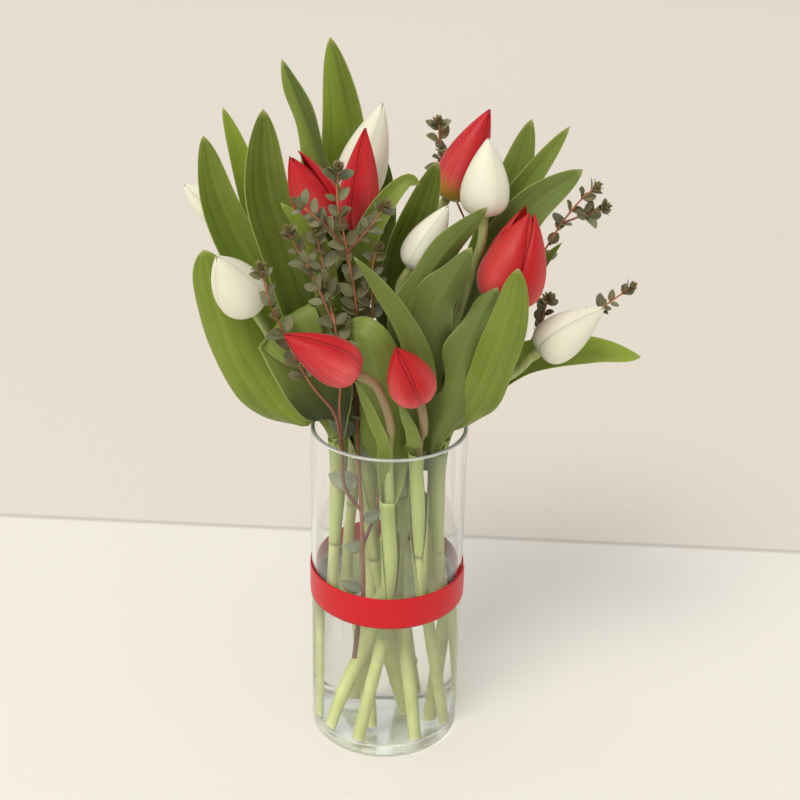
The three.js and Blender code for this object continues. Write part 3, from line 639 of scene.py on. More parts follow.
def sheath_surface(tulip, leaf):
    """The foot of a leaf, wrapped round its stem below the place where it opens."""
    line = smooth_line(stem_points(tulip), STEM_STEPS)
    _, normals, sides = line_frames(line, level_direction(leaf["side"]))
    first = int(np.argmax(line[:, 2] >= leaf["at"] - SHEATH_BELOW))
    last = int(np.argmax(line[:, 2] >= leaf["at"] + SHEATH_ABOVE))

    def surface(s, t):
        s, t = grid_of(s, t)
        where = (first + (last - first) * s) / (len(line) - 1)
        at = at_share(line, where)
        n0 = at_share(normals, where)
        b0 = at_share(sides, where)
        r = stem_radius(where) + 0.15 + 2.4 * ease(s / 0.8) + 0.8 * ease((s - 0.75) / 0.25)
        a = t * (math.pi * 0.93 - 1.2 * ease(s / 0.9))
        return at + (n0 * np.cos(a)[..., None] + b0 * np.sin(a)[..., None]) * r[..., None]

    return surface


def ribbon_surface(s, t):
    """The band's middle surface: one turn and a lap round the vase, and a slight sway."""
    s, t = grid_of(s, t)
    lap = math.radians(RIBBON_LAP)
    turn = (2 * math.pi + lap) * s
    lift = (RIBBON_THICK + GAP) * ease((turn - 2 * math.pi + 3 * lap) / (2.6 * lap))
    r = VASE_RADIUS + GAP + RIBBON_THICK / 2 + lift
    sway = 0.35 * np.sin(3 * turn + 0.6)
    z = RIBBON_LOW + RIBBON_WIDTH / 2 + sway + 0.5 * RIBBON_WIDTH * t * 0.985
    a = math.radians(RIBBON_SEAM) + turn
    return np.stack([r * np.cos(a), r * np.sin(a), z], axis=-1)


# --- meshes
def new_piece(name, vertices, faces, material):
    mesh = bpy.data.meshes.new(name)
    mesh.from_pydata([tuple(p) for p in np.asarray(vertices) * MM], [], faces)
    mesh.validate()
    mesh.materials.append(material)
    mesh.polygons.foreach_set("use_smooth", [True] * len(mesh.polygons))
    mesh.update()
    piece = bpy.data.objects.new(name, mesh)
    scene.collection.objects.link(piece)
    return piece


def set_uv(mesh, uv):
    """One (across, along) pair for each vertex, written to the piece's own UV map."""
    layer = mesh.uv_layers.new(name="UVMap")
    loops = np.zeros(len(mesh.loops), int)
    mesh.loops.foreach_get("vertex_index", loops)
    layer.data.foreach_set("uv", np.asarray(uv, float)[loops].ravel())


def set_value(mesh, name, values):
    """A number for each vertex, which the materials and node trees read by its name."""
    layer = mesh.attributes.new(name, "FLOAT", "POINT")
    layer.data.foreach_set("value", np.broadcast_to(values, len(mesh.vertices)).astype(float))


def lathe(name, profile, material):
    """A closed body of revolution about +Z from a profile that starts and ends on the axis."""
    vertices = []
    rings = []
    for r, z in profile:
        if r == 0:
            rings.append([len(vertices)])
            vertices.append((0.0, 0.0, z))
        else:
            rings.append([len(vertices) + k for k in range(VASE_SIDES)])
            for k in range(VASE_SIDES):
                a = 2 * math.pi * k / VASE_SIDES
                vertices.append((r * math.cos(a), r * math.sin(a), z))
    faces = []
    for low, high in zip(rings, rings[1:]):
        for k in range(VASE_SIDES):
            n = (k + 1) % VASE_SIDES
            if len(low) == 1:
                faces.append((low[0], high[n], high[k]))
            elif len(high) == 1:
                faces.append((low[k], low[n], high[0]))
            else:
                faces.append((low[k], low[n], high[n], high[k]))
    return new_piece(name, vertices, faces, material)


def arc(centre, radius, start, end, steps):
    """Points on an arc in a profile, from one angle to another in degrees."""
    out = []
    for i in range(steps + 1):
        a = math.radians(start + (end - start) * i / steps)
        out.append((centre[0] + radius * math.cos(a), centre[1] + radius * math.sin(a)))
    return out


def blade_mesh(surface, rows, columns, thick, crowd):
    """Vertices, faces and UVs of a closed blade about a surface, thinner at its edges."""
    x = np.linspace(0.0, 1.0, rows + 1)
    s = (x * (1 + crowd * (1 - x)))[:, None]
    k = np.linspace(-1.0, 1.0, columns + 1)
    t = (np.sin(0.5 * math.pi * k) * 0.4 + k * 0.6)[None, :]
    step = 0.002
    middle = surface(s, t)
    along = surface(np.minimum(1.0, s + step), t) - surface(np.maximum(0.0, s - step), t)
    across = surface(s, t + step) - surface(s, t - step)
    normal = np.cross(across, along)
    normal /= np.maximum(1e-9, np.linalg.norm(normal, axis=2))[..., None]
    body = 0.5 * thick * (0.45 + 0.55 * (1 - t**4)) * np.ones_like(s)
    top = (middle + normal * body[..., None]).reshape(-1, 3)
    bottom = (middle - normal * body[..., None]).reshape(-1, 3)
    width = columns + 1
    shift = len(top)
    faces = []
    for i in range(rows):
        for j in range(columns):
            a = i * width + j
            faces.append((a, a + 1, a + width + 1, a + width))
            faces.append((shift + a, shift + a + width, shift + a + width + 1, shift + a + 1))
        a = i * width
        b = a + columns
        faces.append((a, a + width, shift + a + width, shift + a))
        faces.append((b, shift + b, shift + b + width, b + width))
    for j in range(columns):
        b = rows * width + j
        faces.append((j, shift + j, shift + j + 1, j + 1))
        faces.append((b, b + 1, shift + b + 1, shift + b))
    flat = np.stack(np.broadcast_arrays(0.5 + 0.5 * t, s), axis=-1).reshape(-1, 2)
    return np.vstack([top, bottom]), faces, np.vstack([flat, flat])


def thin_blades(name, surfaces, grid, thick, crowd, material):
    """One piece of closed blades; crowd draws their rows together towards the tip."""
    vertices = []
    faces = []
    uvs = []
    first = 0
    for surface in surfaces:
        v, f, uv = blade_mesh(surface, *grid, thick, crowd)
        faces += [tuple(first + i for i in q) for q in f]
        vertices.append(v)
        uvs.append(uv)
        first += len(v)
    piece = new_piece(name, np.vstack(vertices), faces, material)
    set_uv(piece.data, np.vstack(uvs))
    return piece


# --- nodes
def set_input(tree, target, value):
    """Sets a socket to a constant, or links it to another node's socket."""
    if isinstance(value, bpy.types.NodeSocket):
        tree.links.new(value, target)
    else:
        target.default_value = value


def set_inputs(tree, node, **inputs):
    """Sets a node's inputs by name, from numbers, colours or other nodes' sockets."""
    for key, value in inputs.items():
        set_input(tree, node.inputs[key.replace("_", " ")], value)


def add_node(tree, kind, **inputs):
    node = tree.nodes.new(kind)
    set_inputs(tree, node, **inputs)
    return node


def calc(tree, operation, *values, clamp=False):
    node = tree.nodes.new("ShaderNodeMath")
    node.operation = operation
    node.use_clamp = clamp
    for slot, value in enumerate(values):
        set_input(tree, node.inputs[slot], value)
    return node.outputs[0]


def times(tree, a, b, plus=None, clamp=False):
    """a times b, plus a third value where one is given."""
    if plus is None:
        return calc(tree, "MULTIPLY", a, b, clamp=clamp)
    return calc(tree, "MULTIPLY_ADD", a, b, plus, clamp=clamp)


def new_group(name, kind, inputs, outputs):
    """An empty node group with its named inputs and outputs, and its first and last node."""
    tree = bpy.data.node_groups.new(name, kind)
    for key, socket, value in inputs:
        made = tree.interface.new_socket(key, in_out="INPUT", socket_type="NodeSocket" + socket)
        if value is not None:
            made.default_value = value
    for key, socket in outputs:
        tree.interface.new_socket(key, in_out="OUTPUT", socket_type="NodeSocket" + socket)
    return tree, tree.nodes.new("NodeGroupInput"), tree.nodes.new("NodeGroupOutput")


# --- node trees for tubes and small leaves
def stored_value(tree, name, kind="FLOAT"):
    node = tree.nodes.new("GeometryNodeInputNamedAttribute")
    node.data_type = kind
    set_inputs(tree, node, Name=name)
    return node.outputs["Attribute"]


def store_value(tree, geometry, name, value):
    node = tree.nodes.new("GeometryNodeStoreNamedAttribute")
    node.data_type = "FLOAT"
    node.domain = "POINT"
    set_inputs(tree, node, Geometry=geometry, Name=name, Value=value)
    return node.outputs["Geometry"]


def end_tree(tree, geometry, start, end):
    """The grown geometry leaves the tree as one smooth mesh with its material."""
    whole = add_node(tree, "GeometryNodeRealizeInstances", Geometry=geometry)
    smooth = add_node(tree, "GeometryNodeSetShadeSmooth", Geometry=whole.outputs["Geometry"])
    paint = add_node(tree, "GeometryNodeSetMaterial", Geometry=smooth.outputs["Geometry"])
    tree.links.new(start.outputs["Material"], paint.inputs["Material"])
    tree.links.new(paint.outputs["Geometry"], end.inputs["Geometry"])


def tube_tree():
    """Round tubes along the piece's edges, as thick as its radius attribute says."""
    tree, start, end = new_group(
        "tubes_along_lines",
        "GeometryNodeTree",
        [("Geometry", "Geometry", None), ("Sides", "Int", 10), ("Material", "Material", None)],
        [("Geometry", "Geometry")],
    )
    radius = stored_value(tree, "radius")
    share = tree.nodes.new("GeometryNodeSplineParameter").outputs["Factor"]
    lines = add_node(tree, "GeometryNodeMeshToCurve", Mesh=start.outputs["Geometry"])
    sized = add_node(tree, "GeometryNodeSetCurveRadius", Curve=lines.outputs["Curve"], Radius=radius)
    marked = store_value(tree, sized.outputs["Curve"], "along", share)
    ring = tree.nodes.new("GeometryNodeCurvePrimitiveCircle")
    ring.mode = "RADIUS"
    set_inputs(tree, ring, Resolution=start.outputs["Sides"], Radius=1.0)
    tubes = add_node(tree, "GeometryNodeCurveToMesh", Curve=marked, Fill_Caps=True)
    tree.links.new(ring.outputs["Curve"], tubes.inputs["Profile Curve"])
    if "Scale" in tubes.inputs:
        tree.links.new(radius, tubes.inputs["Scale"])
    end_tree(tree, tubes.outputs["Mesh"], start, end)
    return tree


def small_leaf_tree():
    """Keeled ovate leaves set on the piece's points, turned and sized by its attributes."""
    tree, start, end = new_group(
        "small_leaves_on_points",
        "GeometryNodeTree",
        [
            ("Geometry", "Geometry", None),
            ("Rows", "Int", 9),
            ("Columns", "Int", 7),
            ("Width", "Float", 0.66),
            ("Keel", "Float", 0.22),
            ("Thickness", "Float", 0.028),
            ("Material", "Material", None),
        ],
        [("Geometry", "Geometry")],
    )
    sizes = start.outputs
    grid = add_node(tree, "GeometryNodeMeshGrid", Size_X=1.0, Size_Y=1.0)
    set_inputs(tree, grid, Vertices_X=sizes["Columns"], Vertices_Y=sizes["Rows"])
    position = tree.nodes.new("GeometryNodeInputPosition")
    split = add_node(tree, "ShaderNodeSeparateXYZ", Vector=position.outputs[0])
    s = calc(tree, "ADD", split.outputs["Y"], 0.5)
    t = times(tree, split.outputs["X"], 2.0)
    # Half width along the leaf: narrow foot, widest a little below the middle, pointed tip.
    swell = calc(tree, "SINE", times(tree, calc(tree, "POWER", s, 0.82), math.pi))
    swell = calc(tree, "ADD", calc(tree, "POWER", calc(tree, "MAXIMUM", swell, 0.0), 0.7), 0.03)
    half = times(tree, times(tree, swell, 0.5), sizes["Width"])
    x = times(tree, t, half)
    keel = times(tree, calc(tree, "ABSOLUTE", x), sizes["Keel"])
    sag = times(tree, times(tree, s, s), -0.1)
    place = add_node(tree, "ShaderNodeCombineXYZ", X=x, Y=s, Z=calc(tree, "ADD", keel, sag))
    marked = store_value(tree, grid.outputs["Mesh"], "across", t)
    marked = store_value(tree, marked, "along", s)
    shape = add_node(tree, "GeometryNodeSetPosition", Geometry=marked, Position=place.outputs[0])
    # A second face under the first closes the leaf.
    thick = tree.nodes.new("GeometryNodeExtrudeMesh")
    thick.mode = "FACES"
    set_inputs(tree, thick, Mesh=shape.outputs["Geometry"], Individual=False)
    set_inputs(tree, thick, Offset_Scale=sizes["Thickness"])
    under = add_node(tree, "GeometryNodeFlipFaces", Mesh=shape.outputs["Geometry"])
    both = tree.nodes.new("GeometryNodeJoinGeometry")
    tree.links.new(thick.outputs["Mesh"], both.inputs["Geometry"])
    tree.links.new(under.outputs["Mesh"], both.inputs["Geometry"])
    closed = add_node(tree, "GeometryNodeMergeByDistance", Geometry=both.outputs["Geometry"])
    set_inputs(tree, closed, Distance=0.0005)
    set_on = add_node(tree, "GeometryNodeInstanceOnPoints", Points=sizes["Geometry"])
    set_inputs(tree, set_on, Instance=closed.outputs["Geometry"])
    set_inputs(tree, set_on, Rotation=stored_value(tree, "turn", "FLOAT_VECTOR"))
    set_inputs(tree, set_on, Scale=stored_value(tree, "size"))
    end_tree(tree, set_on.outputs["Instances"], start, end)
    return tree


def grow(name, source, tree, **inputs):
    """Runs a node tree on a mesh and keeps the result as a plain mesh piece."""
    holder = bpy.data.objects.new(name, source)
    scene.collection.objects.link(holder)
    modifier = holder.modifiers.new("grow", "NODES")
    modifier.node_group = tree
    for item in tree.interface.items_tree:
        if item.item_type == "SOCKET" and item.in_out == "INPUT" and item.name in inputs:
            modifier[item.identifier] = inputs[item.name]
    bpy.context.view_layer.update()
    grown = holder.evaluated_get(bpy.context.evaluated_depsgraph_get())
    mesh = bpy.data.meshes.new_from_object(grown)
    holder.modifiers.remove(modifier)
    holder.data = mesh
    mesh.name = name
    return holder


def lines_mesh(name, lines, radii):
    """A mesh of edges along each line, with the radius of the tube at each point."""
    vertices = []
    edges = []
    sizes = []
    for line, radius in zip(lines, radii):
        first = len(vertices)
        vertices += [tuple(p * MM) for p in line]
        edges += [(first + i, first + i + 1) for i in range(len(line) - 1)]
        sizes += [r * MM for r in radius]
    mesh = bpy.data.meshes.new(name)
    mesh.from_pydata(vertices, edges, [])
    set_value(mesh, "radius", sizes)
    return mesh


TUBES = tube_tree()
SMALL_LEAVES = small_leaf_tree()


# --- steps of the finishes
def blend_colour(tree, share, first, second):
    """Between two colours, each a socket or three numbers."""
    node = tree.nodes.new("ShaderNodeMix")
    node.data_type = "RGBA"
    set_input(tree, node.inputs[0], share)
    for slot, value in ((6, first), (7, second)):
        set_input(tree, node.inputs[slot], (*value, 1) if isinstance(value, tuple) else value)
    return node.outputs[2]


def tint(tree, colour, mask, strength, target):
    """The colour, moved towards a target where the mask says and as far as the strength says."""
    return blend_colour(tree, times(tree, mask, strength), colour, target)


def object_place(tree):
    return tree.nodes.new("ShaderNodeTexCoord").outputs["Object"]


def noise(tree, place, scale, detail):
    node = add_node(tree, "ShaderNodeTexNoise", Vector=place, Scale=scale, Detail=detail)
    return node.outputs[0]


def stretched_noise(tree, scale, detail):
    """Noise on the piece's place, with its own scale on each axis."""
    fitted = add_node(tree, "ShaderNodeMapping", Vector=object_place(tree), Scale=scale)
    return noise(tree, fitted.outputs[0], 1.0, detail)


def make_lengthwise_lines():
    """Fine lines along a leaf, petal or stem, from its across and along numbers."""
    tree, start, end = new_group(
        "lengthwise_lines",
        "ShaderNodeTree",
        [
            ("Across", "Float", 0.0),
            ("Along", "Float", 0.0),
            ("Count", "Float", 30.0),
            ("Seed", "Float", 0.0),
        ],
        [("Mask", "Float"), ("Broad", "Float")],
    )
    x = times(tree, start.outputs["Across"], start.outputs["Count"])
    y = times(tree, start.outputs["Along"], 1.4)
    for output, squeeze, detail in (("Mask", 1.0, 2.0), ("Broad", 0.16, 3.0)):
        place = add_node(tree, "ShaderNodeCombineXYZ", X=times(tree, x, squeeze), Y=y)
        set_inputs(tree, place, Z=start.outputs["Seed"])
        tree.links.new(noise(tree, place.outputs[0], 1.0, detail), end.inputs[output])
    return tree


def make_mottle():
    """Slow patches of light and dark over a grown surface."""
    tree, start, end = new_group(
        "mottle",
        "ShaderNodeTree",
        [("Size", "Float", 40.0), ("Seed", "Float", 0.0)],
        [("Mask", "Float")],
    )
    put = add_node(tree, "ShaderNodeCombineXYZ", X=start.outputs["Seed"])
    shift = add_node(tree, "ShaderNodeMapping", Vector=object_place(tree), Location=put.outputs[0])
    spots = noise(tree, shift.outputs[0], start.outputs["Size"], 3.0)
    tree.links.new(times(tree, spots, 1.8, -0.4, clamp=True), end.inputs["Mask"])
    return tree


LINES = make_lengthwise_lines()
MOTTLE = make_mottle()


def use_group(tree, group, **inputs):
    node = tree.nodes.new("ShaderNodeGroup")
    node.node_tree = group
    set_inputs(tree, node, **inputs)
    return node.outputs


def new_material(name):
    material = bpy.data.materials.new(name)
    material.use_nodes = True
    tree = material.node_tree
    return material, tree, tree.nodes["Principled BSDF"]


def piece_value(tree, name):
    node = tree.nodes.new("ShaderNodeAttribute")
    node.attribute_name = name
    return node.outputs["Fac"]


def uv_parts(tree):
    """Across (-1..1) and along (0..1) from the piece's own UV map."""
    place = tree.nodes.new("ShaderNodeUVMap")
    place.uv_map = "UVMap"
    split = add_node(tree, "ShaderNodeSeparateXYZ", Vector=place.outputs[0])
    return times(tree, split.outputs["X"], 2.0, -1.0), split.outputs["Y"]


def set_bump(tree, shader, height, strength, distance):
    bump = add_node(tree, "ShaderNodeBump", Strength=strength, Distance=distance, Height=height)
    tree.links.new(bump.outputs[0], shader.inputs["Normal"])


def step_between(tree, value, low, high):
    """0 at low, 1 at high, smooth between; low may be the larger of the two."""
    node = tree.nodes.new("ShaderNodeMapRange")
    node.interpolation_type = "SMOOTHSTEP"
    set_inputs(tree, node, Value=value, From_Min=low, From_Max=high)
    return node.outputs[0]


# --- finishes
LEAF_DARK = (0.016, 0.030, 0.002)
LEAF_LIGHT = (0.275, 0.360, 0.042)
# The next colour is painted shade, for the lower parts of leaves in the bunch.
LEAF_PAINTED_SHADE = (0.012, 0.020, 0.002)
LEAF_DUST = (0.150, 0.190, 0.085)
LEAF_FOOT = (0.42, 0.50, 0.15)
LEAF_RIM = (0.40, 0.47, 0.15)
LEAF_TIP = (0.40, 0.40, 0.14)


def tulip_leaf_finish():
    """Waxy green, darker low down with painted shade where it stands in the bunch, with painted light on
    one half of some leaves, a pale foot and rim and a grey bloom where it is old.
    """
    material, tree, shader = new_material("tulip_leaf_skin")
    across, along = uv_parts(tree)
    lines = use_group(tree, LINES, Across=across, Along=along, Count=26.0)
    patches = use_group(tree, MOTTLE, Size=34.0)["Mask"]
    mix = times(tree, piece_value(tree, "tone"), 0.42, 0.46)
    # Painted light: one half of the leaf, across its middle, is painted lighter as far as lit_half says,
    # as if only that half were lit.
    half = step_between(tree, across, 0.25, -0.25)
    mix = times(tree, half, piece_value(tree, "lit_half"), mix)
    mix = times(tree, lines["Mask"], 0.34, mix)
    mix = times(tree, lines["Broad"], 0.65, mix)
    mix = times(tree, patches, 0.16, mix)
    mix = calc(tree, "ADD", mix, -0.55, clamp=True)
    colour = blend_colour(tree, mix, LEAF_DARK, LEAF_LIGHT)
    # Painted shade: the lower part of the leaf is darkened as far as its deep value says, where the
    # bunch shades it.
    deep = times(tree, step_between(tree, along, 0.72, 0.30), piece_value(tree, "deep"))
    colour = blend_colour(tree, deep, colour, LEAF_PAINTED_SHADE)
    dust = times(tree, times(tree, patches, 0.5, 0.55), calc(tree, "SUBTRACT", 1.0, deep))
    dust = times(tree, dust, piece_value(tree, "grey"), clamp=True)
    colour = blend_colour(tree, dust, colour, LEAF_DUST)
    colour = tint(tree, colour, step_between(tree, along, 0.22, 0.02), 0.75, LEAF_FOOT)
    edge = step_between(tree, calc(tree, "ABSOLUTE", across), 0.93, 0.985)
    colour = tint(tree, colour, edge, 0.6, LEAF_RIM)
    colour = tint(tree, colour, step_between(tree, along, 0.975, 1.0), 0.7, LEAF_TIP)
    set_inputs(tree, shader, Base_Color=colour, Roughness=times(tree, patches, 0.12, 0.36))
    set_inputs(tree, shader, Subsurface_Weight=0.10, Subsurface_Radius=(0.7, 1.0, 0.15))
    set_inputs(tree, shader, Subsurface_Scale=0.003, Specular_IOR_Level=0.2)
    set_bump(tree, shader, lines["Mask"], 0.35, 0.0004)
    return material


PETAL_YELLOW = (0.66, 0.47, 0.05)
PETAL_ORANGE = (0.55, 0.055, 0.018)


def petal_finish(name, deep, full, light, foot, veins):
    """Satin petal: deep at its edges with painted shade and at its tip, lighter along its middle with a
    painted sheen, with fine lines.
    """
    material, tree, shader = new_material(name)
    across, along = uv_parts(tree)
    lines = use_group(tree, LINES, Across=across, Along=along, Count=22.0, Seed=3.0)
    patches = use_group(tree, MOTTLE, Size=55.0, Seed=2.0)["Mask"]
    away = calc(tree, "ABSOLUTE", across)
    middle = step_between(tree, away, 0.85, 0.05)
    # Painted sheen: the middle of the petal is painted towards the light colour, fading out towards the
    # tip.
    shine = times(tree, middle, step_between(tree, along, 1.0, 0.35))
    shine = times(tree, shine, times(tree, lines["Broad"], 1.2, 0.1))
    # The blush low down is the petal's own colour, mixed into the same mask and towards the same colour.
    low = times(tree, step_between(tree, along, 0.62, 0.12), piece_value(tree, "blush"))
    shine = times(tree, low, 0.8, shine, clamp=True)
    colour = blend_colour(tree, shine, full, light)
    streak = times(tree, calc(tree, "SUBTRACT", 0.62, lines["Mask"]), veins, clamp=True)
    colour = blend_colour(tree, streak, colour, deep)
    # Painted shade: each petal's edges are darkened towards the deep colour, most where a grooved
    # bloom's petals meet.
    shadow = times(tree, piece_value(tree, "groove"), 0.5, 0.35)
    edge = times(tree, step_between(tree, away, 0.84, 1.0), shadow)
    colour = blend_colour(tree, edge, colour, deep)
    yellow = times(tree, step_between(tree, along, 0.50, 0.16), piece_value(tree, "yellow"))
    colour = blend_colour(tree, yellow, colour, PETAL_YELLOW)
    colour = tint(tree, colour, step_between(tree, along, 0.16, 0.02), 0.55, foot)
    orange = times(tree, middle, piece_value(tree, "orange"))
    colour = tint(tree, colour, orange, 0.5, PETAL_ORANGE)
    set_inputs(tree, shader, Base_Color=colour, Roughness=times(tree, patches, 0.12, 0.36))
    set_inputs(tree, shader, Subsurface_Weight=0.25, Subsurface_Radius=(1.0, 0.55, 0.4))
    set_inputs(tree, shader, Subsurface_Scale=0.005, Specular_IOR_Level=0.25)
    set_inputs(tree, shader, Sheen_Weight=0.05, Sheen_Roughness=0.35)
    set_bump(tree, shader, lines["Mask"], 0.25, 0.0004)
    return material


STEM_GREEN = (0.46, 0.52, 0.14)
STEM_PALE = (0.66, 0.70, 0.30)
STEM_UPPER = (0.20, 0.27, 0.05)
STEM_STREAK = (0.68, 0.70, 0.34)
STEM_BROWN = (0.29, 0.205, 0.095)
STEM_CUT = (0.72, 0.70, 0.38)


def stem_finish():
    """Pale and streaked under water, greener above; some necks are brown."""
    material, tree, shader = new_material("tulip_stem_skin")
    along = piece_value(tree, "along")
    patches = use_group(tree, MOTTLE, Size=60.0, Seed=5.0)["Mask"]
    fine = stretched_noise(tree, (420.0, 420.0, 16.0), 2.0)
    colour = blend_colour(tree, patches, STEM_GREEN, STEM_PALE)
    colour = tint(tree, colour, step_between(tree, along, 0.45, 0.8), 0.6, STEM_UPPER)
    colour = blend_colour(tree, times(tree, fine, 0.8, -0.25, clamp=True), colour, STEM_STREAK)
    neck = times(tree, step_between(tree, along, 0.72, 0.86), piece_value(tree, "brown"))
    colour = blend_colour(tree, neck, colour, STEM_BROWN)
    colour = blend_colour(tree, step_between(tree, along, 0.012, 0.0), colour, STEM_CUT)
    set_inputs(tree, shader, Base_Color=colour, Roughness=0.38, Subsurface_Weight=0.15)
    set_inputs(tree, shader, Subsurface_Radius=(0.6, 1.0, 0.3), Subsurface_Scale=0.004)
    set_bump(tree, shader, fine, 0.3, 0.0004)
    return material


SHEATH_GREEN = (0.36, 0.44, 0.10)
SHEATH_PALE = (0.62, 0.67, 0.27)
SHEATH_UPPER = (0.27, 0.36, 0.07)


def sheath_finish():
    material, tree, shader = new_material("leaf_foot_skin")
    across, along = uv_parts(tree)
    lines = use_group(tree, LINES, Across=across, Along=along, Count=20.0, Seed=7.0)
    colour = blend_colour(tree, lines["Broad"], SHEATH_GREEN, SHEATH_PALE)
    colour = tint(tree, colour, step_between(tree, along, 0.5, 1.0), 0.6, SHEATH_UPPER)
    set_inputs(tree, shader, Base_Color=colour, Roughness=0.42)
    set_inputs(tree, shader, Subsurface_Weight=0.1, Subsurface_Scale=0.003)
    set_bump(tree, shader, lines["Mask"], 0.3, 0.0004)
    return material


BARK_DARK = (0.170, 0.052, 0.034)
BARK_YOUNG = (0.50, 0.175, 0.060)
BARK_SPOT = (0.30, 0.16, 0.09)


def twig_finish():
    """Red-brown bark, lighter towards the young end, with fine spots."""
    material, tree, shader = new_material("eucalyptus_bark")
    bark = stretched_noise(tree, (700.0, 700.0, 120.0), 4.0)
    colour = blend_colour(tree, piece_value(tree, "along"), BARK_DARK, BARK_YOUNG)
    colour = tint(tree, colour, times(tree, bark, 1.6, -0.6, clamp=True), 0.6, BARK_SPOT)
    set_inputs(tree, shader, Base_Color=colour, Roughness=0.55)
    set_bump(tree, shader, bark, 0.5, 0.0003)
    return material


SMALL_LEAF_DARK = (0.060, 0.075, 0.030)
SMALL_LEAF_LIGHT = (0.225, 0.255, 0.135)
SMALL_LEAF_RIB = (0.26, 0.25, 0.13)
SMALL_LEAF_VEIN = (0.24, 0.26, 0.15)
SMALL_LEAF_RIM = (0.20, 0.095, 0.045)
SMALL_LEAF_YOUNG = (0.235, 0.165, 0.045)


def small_leaf_finish():
    """Dull grey-green with a pale rib, slanting veins and a thin red-brown rim."""
    material, tree, shader = new_material("eucalyptus_leaf_skin")
    side = calc(tree, "ABSOLUTE", piece_value(tree, "across"))
    patches = use_group(tree, MOTTLE, Size=120.0, Seed=9.0)["Mask"]
    mix = times(tree, patches, 0.35, piece_value(tree, "shade"), clamp=True)
    colour = blend_colour(tree, mix, SMALL_LEAF_DARK, SMALL_LEAF_LIGHT)
    colour = tint(tree, colour, step_between(tree, side, 0.14, 0.02), 0.45, SMALL_LEAF_RIB)
    wave = times(tree, piece_value(tree, "along"), 34.0, times(tree, side, -9.0))
    vein = calc(tree, "POWER", calc(tree, "ABSOLUTE", calc(tree, "SINE", wave)), 8.0)
    colour = tint(tree, colour, vein, 0.10, SMALL_LEAF_VEIN)
    colour = tint(tree, colour, step_between(tree, side, 0.88, 1.0), 0.5, SMALL_LEAF_RIM)
    colour = tint(tree, colour, piece_value(tree, "young"), 0.75, SMALL_LEAF_YOUNG)
    set_inputs(tree, shader, Base_Color=colour, Roughness=0.55)
    set_inputs(tree, shader, Subsurface_Weight=0.06, Subsurface_Scale=0.002)
    set_bump(tree, shader, vein, 0.2, 0.0002)
    return material


def clear_finish(name, colour, ior, rough=0.0, clear=1.0):
    """Clear to look through, and clear to the lamps, so that what stands in it is lit."""
    material, tree, shader = new_material(name)
    set_inputs(tree, shader, Base_Color=(*colour, 1), Roughness=rough, IOR=ior)
    set_inputs(tree, shader, Transmission_Weight=clear)
    path = tree.nodes.new("ShaderNodeLightPath")
    through = add_node(tree, "ShaderNodeBsdfTransparent", Color=(*colour, 1))
    mix = tree.nodes.new("ShaderNodeMixShader")
    for slot, value in enumerate((path.outputs["Is Shadow Ray"], shader.outputs[0], through.outputs[0])):
        tree.links.new(value, mix.inputs[slot])
    tree.links.new(mix.outputs[0], tree.nodes["Material Output"].inputs["Surface"])
    return material


RIBBON_DARK = (0.50, 0.004, 0.010)
RIBBON_LIGHT = (0.74, 0.010, 0.020)
RIBBON_HEM = (0.36, 0.003, 0.008)


def ribbon_finish():
    """Red satin: threads along the band, a fine weave across them and a firm hem."""
    material, tree, shader = new_material("red_satin_ribbon")
    across, along = uv_parts(tree)
    weave = calc(tree, "SINE", times(tree, along, 2600.0))
    place = add_node(tree, "ShaderNodeCombineXYZ", X=times(tree, along, 900.0), Y=across)
    threads = noise(tree, place.outputs[0], 1.5, 2.0)
    colour = blend_colour(tree, threads, RIBBON_DARK, RIBBON_LIGHT)
    hem = step_between(tree, calc(tree, "ABSOLUTE", across), 0.90, 0.97)
    colour = tint(tree, colour, hem, 0.35, RIBBON_HEM)
    set_inputs(tree, shader, Base_Color=colour, Roughness=times(tree, threads, 0.18, 0.26))
    set_inputs(tree, shader, Sheen_Weight=0.06, Sheen_Tint=(1.0, 0.5, 0.45, 1))
    set_inputs(tree, shader, Sheen_Roughness=0.3, Specular_IOR_Level=0.3)
    height = times(tree, hem, 0.6, times(tree, weave, 0.25, threads))
    set_bump(tree, shader, height, 0.35, 0.0002)
    return material


LEAF_SKIN = tulip_leaf_finish()
STEM_SKIN = stem_finish()
SHEATH_SKIN = sheath_finish()
RED_PETAL = petal_finish(
    "red_petal_satin",
    deep=(0.200, 0.002, 0.005),
    full=(0.540, 0.009, 0.014),
    light=(0.780, 0.105, 0.108),
    foot=(0.540, 0.190, 0.170),
    veins=0.9,
)
WHITE_PETAL = petal_finish(
    "white_petal_satin",
    deep=(0.640, 0.600, 0.400),
    full=(0.860, 0.800, 0.620),
    light=(0.910, 0.860, 0.700),
    foot=(0.560, 0.600, 0.330),
    veins=0.35,
)
BARK = twig_finish()
SMALL_LEAF_SKIN = small_leaf_finish()
GLASS = clear_finish("clear_glass", (0.99, 1.0, 0.995), 1.5)
# Painted light: the rim and the foot take a whitish glass that is only partly clear, so that they read
# light, standing in for the bright line that light draws along these edges.
EDGE_GLASS = clear_finish("glass_edge_painted_light", (0.95, 0.955, 0.94), 1.5, 0.1, 0.6)
WATER = clear_finish("vase_water", (0.995, 1.0, 0.985), 1.333)
RIBBON = ribbon_finish()


# --- pieces
def settle(piece, node):
    """The piece rides with the part and stands for its solid, which it hides."""
    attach(piece, "root")
    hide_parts(node)


